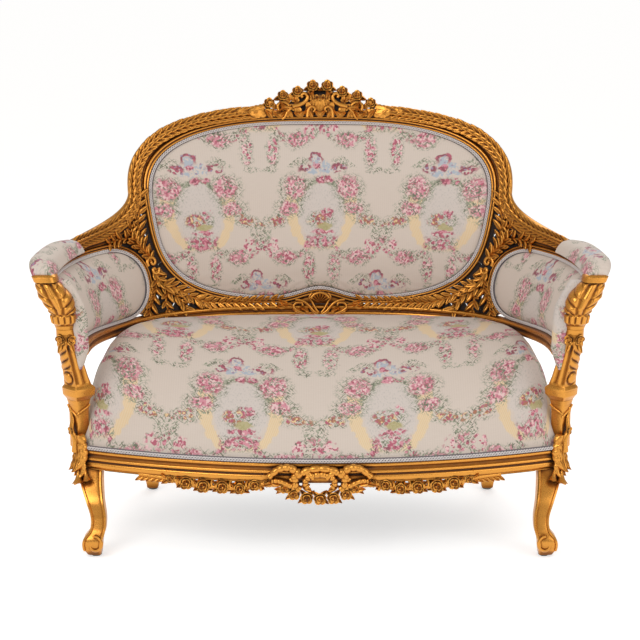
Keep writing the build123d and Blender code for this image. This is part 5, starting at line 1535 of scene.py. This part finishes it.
def crest_height(run):
    """The crest's height above the oval's ring at a run."""
    rise = CREST_TOP - (OVAL_HEIGHT + OVAL_HALF_HEIGHT + RAIL_GROW)
    return CREST_END_HEIGHT + (rise - CREST_END_HEIGHT) * np.exp(-((run / CREST_SPREAD) ** 2))


class SETTEE_OT_crest(bpy.types.Operator):
    """Build the crest: roses in a row over scroll leaves, buds and a row of small leaves"""

    bl_idname = "settee.crest"
    bl_label = "Crest"

    def execute(self, context):
        size = context.scene.settee_sizes
        half = Piece()
        rose, leaf = rose_shape(), leaf_shape(0.5, 0.14, 0.25)
        acanthus, bud = acanthus_shape(3), trumpet_shape()
        for run, height, radius, out in ((0.02, 1.046, 0.015, -0.012), (0.059, 1.031, 0.0142, -0.012),
                                         (0.097, 1.021, 0.0136, -0.011), (0.131, 1.002, 0.0132, -0.01)):
            place = shell(run, height, out)
            along, up, facing = shell_axes(run, height)
            forward = facing + up * 0.35 + along * 0.15
            half.place(rose, place, up * 0.4 + along, forward, radius * size.rose_scale)
            for turn in (-2.0, 2.0, 2.9):
                half.place(leaf, place - facing * 0.004, along * sin(turn) + up * cos(turn), facing, 0.028)
        for run, height, way, reach in (
                (0.142, 0.992, -0.3, 0.046), (0.136, 0.977, -0.02, 0.05), (0.172, 0.984, -0.1, 0.044),
                (0.11, 0.974, 0.3, 0.036), (0.112, 0.988, 0.7, 0.03), (0.066, 1.006, 0.9, 0.026),
                (0.022, 0.97, 1.25, 0.038), (0.002, 0.974, 1.45, 0.04), (0.048, 0.968, 1.00, 0.036),
                (0.074, 0.968, 0.75, 0.034), (0.094, 0.966, 0.5, 0.034), (0.052, 0.986, 0.3, 0.034),
                (0.01, 1.000, 1.1, 0.034), (0.034, 1.01, 1.9, 0.028), (0.078, 1.006, 0.45, 0.028),
                (0.06, 0.996, 1.5, 0.026), (0.03, 0.99, 2.2, 0.028)):
            fix(half, acanthus, run, height, -0.01, way, (reach, reach * 0.85, reach * 0.7), 0.15)
        for points, thick in (
                (((0.072, 0.994), (0.052, 0.999), (0.038, 1.008), (0.033, 1.02), (0.041, 1.028),
                  (0.049, 1.023), (0.046, 1.017)), 0.0064),
                (((0.106, 0.984), (0.108, 0.997), (0.096, 1.004), (0.084, 0.998), (0.086, 0.988),
                  (0.095, 0.989)), 0.0066),
                (((0.076, 0.99), (0.086, 0.979), (0.092, 0.967), (0.099, 0.961)), 0.0044),
                (((0.034, 0.966), (0.031, 0.985), (0.022, 0.994), (0.013, 0.988), (0.017, 0.98)), 0.0046)):
            branch(half, points, thick, thick * 0.6, -0.017, 50)
        fix(half, rose, 0.008, 1.016, -0.018, 0.0, 0.0085 * size.rose_scale)
        for run, height, way, reach in ((0.072, 0.99, 0.1, 0.036), (0.014, 1.01, 1.2, 0.026)):
            fix(half, bud, run, height, -0.017, way, reach, 0.35)
        for count, run in enumerate(np.arange(0.006, 0.125, 0.013)):
            way = pi / 2 - (-0.9, 0.7, 0.1, 1.1)[count % 4]
            fix(half, leaf, run, oval_top(run, RAIL_GROW) - 0.003, -0.016, way, (0.027, 0.026, 0.018))
        carve(half.with_mirror(), "crest_carved", ["crest"])
        runs = np.linspace(-CREST_HALF_RUN, CREST_HALF_RUN, 90)
        angle = oval_angle(runs)
        ground = rounded((0, 0.012), (0.9, 0.012), (1, 0.006), (1, -0.002), (0.9, -0.005), (0, -0.006))
        high = oval(angle, RAIL_GROW + np.maximum(crest_height(runs) - 0.02, 0.012))
        # A plate behind the crest's carving, coloured as painted shade in its gaps.
        carve(Piece().loft(band(oval(angle, RAIL_GROW), high, ground)), "crest_ground", finish="gilt_ground")
        return {"FINISHED"}


SCALLOP_FOOT = 0.487


def refinish(node, finish):
    """Give a finish to one of the frame's own pieces."""
    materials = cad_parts[node].data.materials
    materials.clear()
    materials.append(material(finish))


class SETTEE_OT_spandrels(bpy.types.Operator):
    """Build the laurel sprays over the pierced spandrels and the shell at the oval's foot"""

    bl_idname = "settee.spandrels"
    bl_label = "Laurel spandrels"

    def execute(self, context):
        size = context.scene.settee_sizes
        # The pierced spandrel plates get the darker ground gilding: painted shade behind the laurel sprays.
        refinish("spandrel_left", "gilt_ground")
        refinish("spandrel_right", "gilt_ground")
        lines = [
            [(0.461, 0.611), (0.474, 0.641), (0.479, 0.673), (0.476, 0.71), (0.465, 0.743), (0.458, 0.772)],
            [(0.461, 0.623), (0.488, 0.649), (0.509, 0.671), (0.542, 0.675), (0.57, 0.671)],
            [(0.482, 0.645), (0.498, 0.673), (0.497, 0.697)],
            [(0.456, 0.588), (0.447, 0.558), (0.425, 0.53), (0.398, 0.51), (0.382, 0.484)],
            [(0.455, 0.565), (0.466, 0.537), (0.484, 0.511), (0.502, 0.488)],
            [(0.439, 0.546), (0.412, 0.54), (0.381, 0.522), (0.357, 0.507), (0.33, 0.497)],
            [(0.429, 0.527), (0.44, 0.506), (0.439, 0.484)],
            [(0.345, 0.5), (0.297, 0.489), (0.233, 0.485), (0.17, 0.484), (0.118, 0.486)],
        ]
        pair = Piece()
        leaf = leaf_shape(0.46, 0.16, 0.3)
        for turn in (0.62, -0.62):
            pair.place(leaf, (0, 0, 0), (cos(turn), sin(turn), 0.1), (0, 0.25 * turn, 1), 1.0)
        paths = []
        stems = Piece()
        for line in lines:
            run, height = smooth_line(line, 40).T
            paths.append((shell(run, height, -0.008), shell_axes(run, height)[2]))
            branch(stems, line, 0.0038, 0.0024, -0.0075, 40, 6)
        row("spandrel_laurel", both_sides(paths), pair.shape(), size.laurel_leaf * 0.62, size.laurel_leaf,
            variation=0.16, seed=7)
        for start, finish, turns in (((0.474, 0.6), (0.461, 0.608), 1.3),
                                     ((0.446, 0.592), (0.457, 0.588), 1.2)):
            run, height = scroll_line(start, finish, turns).T
            stems.tube(shell(run, height, -0.011), np.linspace(0.0052, 0.0034, VOLUTE_POINTS))
        rose = rose_shape()
        for run, height, radius in ((0.444, 0.58, 0.0085), (0.432, 0.571, 0.0075), (0.382, 0.489, 0.007)):
            stems.place(rose, shell(run, height, -0.009), (1, 0, 0), shell_axes(run, height)[2], radius)
        carve(stems.with_mirror(), "spandrel_stems")
        self.shell_carving()
        return {"FINISHED"}

    def shell_carving(self):
        """A small fluted scallop over open scroll branches."""
        run = np.linspace(-0.095, 0.095, 40)
        plate = rounded((0, 0.006), (1, 0.006), (1, -0.004), (0, -0.004))
        foot, top = BOTTOM_RAIL_TOP + 0.001 + 0 * run, oval_bottom(run, RAIL_GROW) - 0.001
        fan = Piece().loft(band((run, foot), (run, top), plate))
        turn = np.linspace(0.16 * pi, 0.84 * pi, 57)
        reach = np.linspace(0.15, 1, 10)[:, None]
        flute = np.abs(np.cos(np.linspace(0, 6 * pi, 57)))
        away = 0.027 * reach * (0.94 + 0.08 * flute * reach)
        out = -0.022 - 0.005 * flute * np.sin(pi * reach * 0.8) - 0.012 * reach ** 2
        across, height = away * np.cos(turn), SCALLOP_FOOT + away * np.sin(turn)
        fan.sheet(shell(across, height, out), shell(across, height, -0.008))
        fan.tube(shell(0.0275 * np.cos(turn), SCALLOP_FOOT + 0.0275 * np.sin(turn), -0.035), 0.0032)
        leaf = leaf_shape(0.5, 0.12, 0.15)
        for side in (1, -1):
            for points, thick in (
                    (((0.005, 0.456), (0.018, 0.464), (0.033, 0.481), (0.048, 0.49), (0.066, 0.494)), 0.0046),
                    (((0.004, 0.46), (0.012, 0.47), (0.022, 0.489), (0.028, 0.5), (0.022, 0.511)), 0.0034),
                    (((0.04, 0.456), (0.06, 0.464), (0.071, 0.474), (0.065, 0.484), (0.05, 0.485),
                      (0.046, 0.478)), 0.004)):
                branch(fan, np.multiply(points, (side, 1)), thick, thick * 0.7, -0.02, 40)
            for run, height, way in ((0.03, 0.462, 0.5), (0.048, 0.462, 0.2), (0.07, 0.476, 0.1),
                                     (0.086, 0.482, 0.3), (0.092, 0.474, 0.0)):
                fix(fan, leaf, run, height, -0.017, way, 0.026, side=side)
        carve(fan, "shell_carving_fan", ["shell_carving"])


class SETTEE_OT_apron(bpy.types.Operator):
    """Build the rose garlands and the ribboned wreath under the front rail"""

    bl_idname = "settee.apron"
    bl_label = "Apron carving"

    def execute(self, context):
        self.garlands(context.scene.settee_sizes)
        self.wreath(context.scene.settee_sizes)
        return {"FINISHED"}

    def garlands(self, size):
        """Roses on a rope of leaves, tied up to the rail."""
        garland = Piece()
        rose, leaf = rose_shape(), leaf_shape(0.5, 0.12, 0.15)
        roses = ((0.12, 0.197, 0.011), (0.152, 0.19, 0.013), (0.187, 0.18, 0.013), (0.228, 0.182, 0.015),
                 (0.273, 0.182, 0.0155), (0.313, 0.187, 0.015), (0.349, 0.194, 0.01))
        rope = [(x, z - 0.002) for x, z, radius in roses] + [(0.385, 0.196), (0.425, 0.198)]
        garland.tube(smooth_line([(x, front_bow(x) + 0.007, z) for x, z in rope], 60), 0.0055)
        ahead = (0.0, -1.0, 0.1)
        for x, z, radius in roses:
            place = np.array([x, front_bow(x) + 0.004, z])
            garland.place(rose, place, (1, 0, 0.3), ahead, radius * size.rose_scale)
            for way in (0.5, 2.6, -0.5, 3.6, 1.2, 1.9):
                heading = (cos(way), 0, sin(way))
                garland.place(leaf, place + [0, 0.004, 0], heading, ahead, (0.026, 0.03, 0.03))
        for x in (0.136, 0.169, 0.207, 0.25, 0.293, 0.332):
            y = front_bow(x)
            tie = (x, y + 0.008, 0.199), (x + 0.003, y + 0.006, 0.188), (x, y + 0.007, 0.176)
            garland.tube(smooth_line(tie, 10), 0.004, 6)
        for x in np.arange(0.362, 0.425, 0.013):
            place = (x, front_bow(x) + 0.006, 0.195)
            garland.place(leaf, place, (1, 0, -0.5), ahead, (0.024, 0.022, 0.02))
        carve_pair(garland, "apron_garland")

    def wreath(self, size):
        """A ring of ribbon-bound reeds on top with roses along its foot."""
        wreath = Piece()
        front = front_bow(0.0)
        rose, leaf = rose_shape(), leaf_shape(0.5, 0.12, 0.15)
        turn = np.linspace(-0.2 * pi, 1.2 * pi, 120)
        bound = 0.72 + 0.28 * np.abs(np.sin(turn * 8)) ** 0.5
        for wide, tall, thick, ahead in ((0.058, 0.032, 0.0095, 0.006), (0.034, 0.019, 0.008, 0.009)):
            line = joined(wide * np.cos(turn), front - ahead, 0.203 + tall * np.sin(turn))
            wreath.tube(line, thick * bound, 12)
        bound = 0.72 + 0.28 * np.abs(np.cos(np.linspace(0, 5 * pi, 40))) ** 0.5
        for side in (1, -1):
            for points, thick in ((((0.05, 0.226), (0.072, 0.238), (0.096, 0.234), (0.118, 0.216)), 0.0105),
                                  (((0.014, 0.214), (0.034, 0.226), (0.054, 0.222), (0.068, 0.208)), 0.009),
                                  (((0.06, 0.19), (0.076, 0.198), (0.096, 0.206), (0.112, 0.206)), 0.0075)):
                path = smooth_line([(side * x, front - 0.008, z) for x, z in points], 40)
                wreath.tube(path, np.linspace(thick, thick * 0.75, 40) * bound, 10)
            for x, z, way in ((0.078, 0.184, 0.1), (0.092, 0.194, 0.4), (0.104, 0.2, -0.2),
                              (0.02, 0.18, 0.6)):
                heading = (side * cos(way), 0, sin(way))
                wreath.place(leaf, (side * x, front - 0.006, z), heading, (0, -1, 0), 0.028)
        ahead = (0.0, -1.0, -0.1)
        for x, z, radius in ((0.0, 0.163, 0.0145), (0.031, 0.165, 0.0145), (0.06, 0.174, 0.0135),
                             (0.081, 0.188, 0.012)):
            for side in ((1, -1) if x else (1,)):
                wreath.place(rose, (side * x, front - 0.004, z), (1, 0, 0.4), ahead, radius * size.rose_scale)
                for way in (-0.6, 0.9, 2.4):
                    heading = (side * cos(way), 0, sin(way))
                    wreath.place(leaf, (side * x, front - 0.001, z), heading, ahead, 0.025)
        carve(wreath, "apron_wreath_carved", ["apron_wreath"])


def braid_shape():
    """One period of a flat two-strand braid, a unit long."""
    braid = Piece()
    x = np.linspace(-0.5, 0.5, 7)
    for strand in range(2):
        phase = 2 * pi * (x + strand / 2)
        line = joined(x, 0.22 * np.sin(phase), 0.1 + 0.08 * np.cos(phase))
        braid.tube(line, 0.13, 6, UP)
    return braid.shape()


# The inner and outer edge of a gimp and its middle, as distances outside a panel's line
GIMP_LINES = -0.012, -0.0005, -0.004
GIMP_PROFILE = rounded((0, -0.004), (1, -0.004), (1, -0.0072), (0.5, -0.0082), (0, -0.0072))
BRAID_OUT = -0.0095


class SETTEE_OT_gimps(bpy.types.Operator):
    """Build the braided gimps that hide the tacks round the seat, the back and the arms"""

    bl_idname = "settee.gimps"
    bl_label = "Gimp braids"

    def execute(self, context):
        angles = oval_angles(160)
        inner, outer, middle = (oval(angles, grow) for grow in GIMP_LINES)
        tape = Piece().loft(band(inner, outer, GIMP_PROFILE)).with_mirror()
        self.tape(tape, "back_gimp_tape", ["back_gimp"])
        path = shell(*middle, BRAID_OUT), shell_axes(*middle)[2]
        self.braid("back_gimp_braid", both_sides([path]))

        turn = np.linspace(0, pi, 50)
        straight = np.linspace(ARM_END_RUN, ARM_FRONT_RUN - 0.002, 36)[1:]
        for side, word in ((1, "left"), (-1, "right")):
            lines = []
            for grow in GIMP_LINES:
                run, height = arm_end(turn, grow)
                low = BOTTOM_RAIL_TOP + sill_rise(straight) - grow
                lines.append((side * np.concatenate([straight[::-1], run, straight]),
                              np.concatenate([np.full(35, ARM_TOP + grow), height, low])))
            inner, outer, middle = lines
            tape = Piece().loft(band(inner, outer, GIMP_PROFILE))
            self.tape(tape, "arm_gimp_tape_" + word, ["arm_gimp_" + word])
            path = shell(*middle, BRAID_OUT), shell_axes(*middle)[2]
            self.braid("arm_gimp_braid_" + word, [path])

        x, y = seat_outline(GIMP_INSET, 300)
        away = unit(joined(np.gradient(y), -np.gradient(x), 0.0))
        section = rounded((0.0, 0.0), (0.003, 0.0), (0.003, 0.012), (0.0, 0.012))
        sections = swept(joined(x, y, SEAT_RAIL_TOP + 0.0005)[:-1], -away[:-1], UP, section)
        self.tape(Piece().loft(sections, closed_path=True), "seat_gimp_tape", ["seat_gimp"])
        self.braid("seat_gimp_braid", [(joined(x, y, SEAT_RAIL_TOP + 0.0065), away)])
        return {"FINISHED"}

    def braid(self, name, paths):
        """Braid along paths."""
        pitch = bpy.context.scene.settee_sizes.braid
        row(name, paths, braid_shape(), pitch, pitch, "braid", "gimp")

    def tape(self, piece, name, nodes):
        """The flat tape under a braid, coloured dark as painted shade between the strands."""
        mesh = piece.mesh(name)
        mark_hollows(mesh)
        stand(mesh, name, material("braid_ground"), nodes)


KEPT_FINISHES = {
    "bare_wood": ("seat_brace", "corner_blocks", "arm_rail_left", "arm_rail_right"),
    "gilt": ("side_rail_left", "side_rail_right", "rear_rail", "rear_leg_left", "rear_leg_right"),
    "burlap": ("seat_deck", "back_burlap"),
    "webbing": ("seat_webbing",),
    "lining": ("dust_cover",),
    "spring": ("seat_springs",),
    "screw": ("corner_screws",),
    "glide": ("foot_glides",),
}


class SETTEE_OT_inner_frame(bpy.types.Operator):
    """Finish the frame's own pieces: rails, rear legs, springs, webbing and lining"""

    bl_idname = "settee.inner_frame"
    bl_label = "Inner frame"

    def execute(self, context):
        for finish, names in KEPT_FINISHES.items():
            for name in names:
                refinish(name, finish)
        return {"FINISHED"}


ROOM_LIGHT = 0.52
FLOOR_REACH = 70.0


class SETTEE_OT_stage(bpy.types.Operator):
    """Set the floor, the soft studio lights and the camera"""

    bl_idname = "settee.stage"
    bl_label = "Stage"

    def execute(self, context):
        scene = context.scene
        scene.view_settings.view_transform = "Standard"
        self.floor(scene)
        self.sky(scene)
        self.lamp("key_lamp", (-1.9, -3.2, 3.0), 2.2, 62)
        self.lamp("fill_lamp", (2.4, -2.6, 2.0), 2.6, 34)
        self.lamp("rear_lamp", (0.4, 2.4, 2.8), 2.2, 30)
        self.camera(scene)
        return {"FINISHED"}

    def floor(self, scene):
        """A wide pale floor."""
        points = [(x * FLOOR_REACH, y * FLOOR_REACH, 0) for x, y in ((-1, -1), (1, -1), (1, 1), (-1, 1))]
        mesh = bpy.data.meshes.new("studio_floor")
        mesh.from_pydata(points, [], [(0, 1, 2, 3)])
        floor = bpy.data.objects.new("studio_floor", mesh)
        scene.collection.objects.link(floor)
        board = Board("studio_floor")
        seen = sum(board.node("ShaderNodeLightPath", output=ray)
                   for ray in ("Is Camera Ray", "Is Glossy Ray", "Is Transmission Ray")).maths("MINIMUM", 1.0)
        pale = board.node("ShaderNodeBsdfDiffuse", {}, {"Color": (0.86, 0.86, 0.86)})
        glow = board.node("ShaderNodeEmission", {}, {"Color": (1.0, 1.0, 1.0), "Strength": 0.55})
        both = board.node("ShaderNodeAddShader", {}, {0: pale, 1: glow})
        shown = board.node("ShaderNodeMixShader", {}, {0: seen, 1: pale, 2: both})
        board.node("ShaderNodeOutputMaterial", {}, {"Surface": shown})
        mesh.materials.append(board.material)

    def sky(self, scene):
        """An even white room."""
        world = bpy.data.worlds.new("studio_room")
        scene.world = world
        world.use_nodes = True
        board = Board("studio_room", world.node_tree)
        seen = board.node("ShaderNodeLightPath", output="Is Camera Ray")
        light = board.node("ShaderNodeBackground", {}, {
            "Color": (1.0, 0.985, 0.96), "Strength": seen * (1 - ROOM_LIGHT) + ROOM_LIGHT})
        board.node("ShaderNodeOutputWorld", {}, {"Surface": light})

    def lamp(self, name, place, size, power):
        """A large soft lamp aimed at the seat."""
        light = bpy.data.lights.new(name, "AREA")
        light.size = size
        light.energy = power
        lamp = bpy.data.objects.new(name, light)
        bpy.context.scene.collection.objects.link(lamp)
        lamp.location = place
        way = lamp.location.copy()
        way.z -= 0.5
        lamp.rotation_euler = way.to_track_quat("Z", "Y").to_euler()

    def camera(self, scene):
        """The viewing angle, from the front and above."""
        lens = bpy.data.cameras.new("camera")
        lens.lens = CAMERA_LENS
        camera = bpy.data.objects.new("camera", lens)
        scene.collection.objects.link(camera)
        camera.location = (0.0, FEET_LINE - CAMERA_AHEAD, CAMERA_HEIGHT)
        camera.rotation_euler = (CAMERA_PITCH, 0.0, 0.0)
        scene.camera = camera


def length_property(name, description, default):
    """A length that a user may change."""
    return bpy.props.FloatProperty(name=name, description=description, default=default, unit="LENGTH",
                                   precision=4)


def scale_property(name, description, default):
    """A scale that a user may change."""
    return bpy.props.FloatProperty(name=name, description=description, default=default)


def colour_property(name, description, code):
    """A colour that a user may change."""
    return bpy.props.FloatVectorProperty(name=name, description=description, default=linear(code), size=3,
                                         min=0.0, max=1.0, subtype="COLOR")


class SetteeSizes(bpy.types.PropertyGroup):
    """Sizes of the settee's carving and cloth."""

    back_crown: length_property("Back crown", "How far the inside back stands out of its frame", 0.042)
    arm_crown: length_property("Arm crown", "How far the inside arms stand out of their frame", 0.036)
    bay_leaf: length_property("Bay leaf", "Length of a leaf on the top rails", 0.031)
    laurel_leaf: length_property("Laurel leaf", "Length of a leaf on the spandrels", 0.031)
    braid: length_property("Braid", "Pitch of the gimp braid", 0.014)
    back_cloth_centre: length_property("Back cloth centre", "Height of the medallions on the back", 0.735)
    arm_cloth_centre: length_property("Arm cloth centre", "Height of the medallion on the arms", 0.512)
    arm_cloth_run: length_property("Arm cloth run", "Run of the medallion on the arms", 0.712)
    seat_cloth_start: length_property("Seat cloth start", "From the front edge to the rear medallions", 0.470)
    seat_cloth_scale: scale_property("Seat cloth scale", "Scale of the seat's motif", 1.09)
    rose_scale: scale_property("Rose scale", "Scale of all carved roses", 1.0)


class SetteeColours(bpy.types.PropertyGroup):
    """Colours of the settee's gilding, cloth and braid."""

    gilt_bright: colour_property("Bright gilding", "Burnished highs", "d6933f")
    gilt: colour_property("Gilding", "Gilding on the plain faces", "9c5f1c")
    # The deep colour serves both the patina in the hollows and the painted shade from the occlusion and on
    # the ground plates.
    gilt_deep: colour_property("Toning", "Brown toning in the recesses", "2e1404")
    braid: colour_property("Braid", "Thread of the gimps", "d6cecb")
    # Painted shade colour for the braid's hollows and for the tape under it.
    braid_shade: colour_property("Braid shade", "Hollows of the gimps", "6a6164")
    ground: colour_property("Ground", "The cloth's ground", "d9cbbf")
    ground_shade: colour_property("Ground shade", "Ribs in the cloth's ground", "c4b4a6")
    medallion: colour_property("Medallion", "The pale ovals", "d3c8c0")
    medallion_shade: colour_property("Medallion shade", "Faint trees in the ovals", "a9a49e")
    rose_pink: colour_property("Rose pink", "Petals", "d68b9a")
    rose_pale: colour_property("Pale rose", "Petal edges", "e9c4c3")
    rose_deep: colour_property("Deep rose", "Flower centres", "b34f69")
    burgundy: colour_property("Burgundy", "Bows and dark flowers", "8a3c50")
    leaf_green: colour_property("Leaf green", "Leaves", "8e967e")
    leaf_dark: colour_property("Dark leaf", "Leaf shadows", "656c57")
    ribbon_yellow: colour_property("Ribbon yellow", "The ribbon horseshoe", "e6c692")
    cream: colour_property("Cream", "Stripes of the ribbon", "ecdcc0")
    ribbon_blue: colour_property("Ribbon blue", "Blue bows", "a7b5c4")
    basket: colour_property("Basket", "The flower basket", "b0a566")
    russet: colour_property("Russet", "Small warm flowers", "a8694c")
    lilac: colour_property("Lilac", "Edges of the blue ribbon", "97829f")


class SETTEE_PT_panel(bpy.types.Panel):
    """The settee's sizes, colours and building steps"""

    bl_idname = "SETTEE_PT_panel"
    bl_label = "Settee"
    bl_space_type = "VIEW_3D"
    bl_region_type = "UI"
    bl_category = "Settee"

    def draw(self, context):
        for group in (context.scene.settee_sizes, context.scene.settee_colours):
            for key in group.bl_rna.properties.keys():
                if key not in ("rna_type", "name"):
                    self.layout.prop(group, key)
        for step in STEPS:
            self.layout.operator(step.bl_idname)


STEPS = (SETTEE_OT_stage, SETTEE_OT_inner_frame, SETTEE_OT_seat, SETTEE_OT_back, SETTEE_OT_arms,
         SETTEE_OT_seat_frame, SETTEE_OT_posts, SETTEE_OT_mouldings, SETTEE_OT_crest, SETTEE_OT_spandrels,
         SETTEE_OT_apron, SETTEE_OT_gimps)
CLASSES = (SetteeSizes, SetteeColours) + STEPS + (SETTEE_PT_panel,)


def register():
    """Add the classes and the scene's properties."""
    for kind in CLASSES:
        bpy.utils.register_class(kind)
    bpy.types.Scene.settee_sizes = bpy.props.PointerProperty(type=SetteeSizes)
    bpy.types.Scene.settee_colours = bpy.props.PointerProperty(type=SetteeColours)


def unregister():
    """Remove the scene's properties and the classes."""
    del bpy.types.Scene.settee_colours
    del bpy.types.Scene.settee_sizes
    for kind in reversed(CLASSES):
        bpy.utils.unregister_class(kind)


def main():
    """Build the whole settee."""
    register()
    bpy.ops.settee.stage()
    bpy.ops.settee.inner_frame()
    bpy.ops.settee.seat()
    bpy.ops.settee.back()
    bpy.ops.settee.arms()
    bpy.ops.settee.seat_frame()
    bpy.ops.settee.posts()
    bpy.ops.settee.mouldings()
    bpy.ops.settee.crest()
    bpy.ops.settee.spandrels()
    bpy.ops.settee.apron()
    bpy.ops.settee.gimps()


if __name__ == "__main__":
    main()
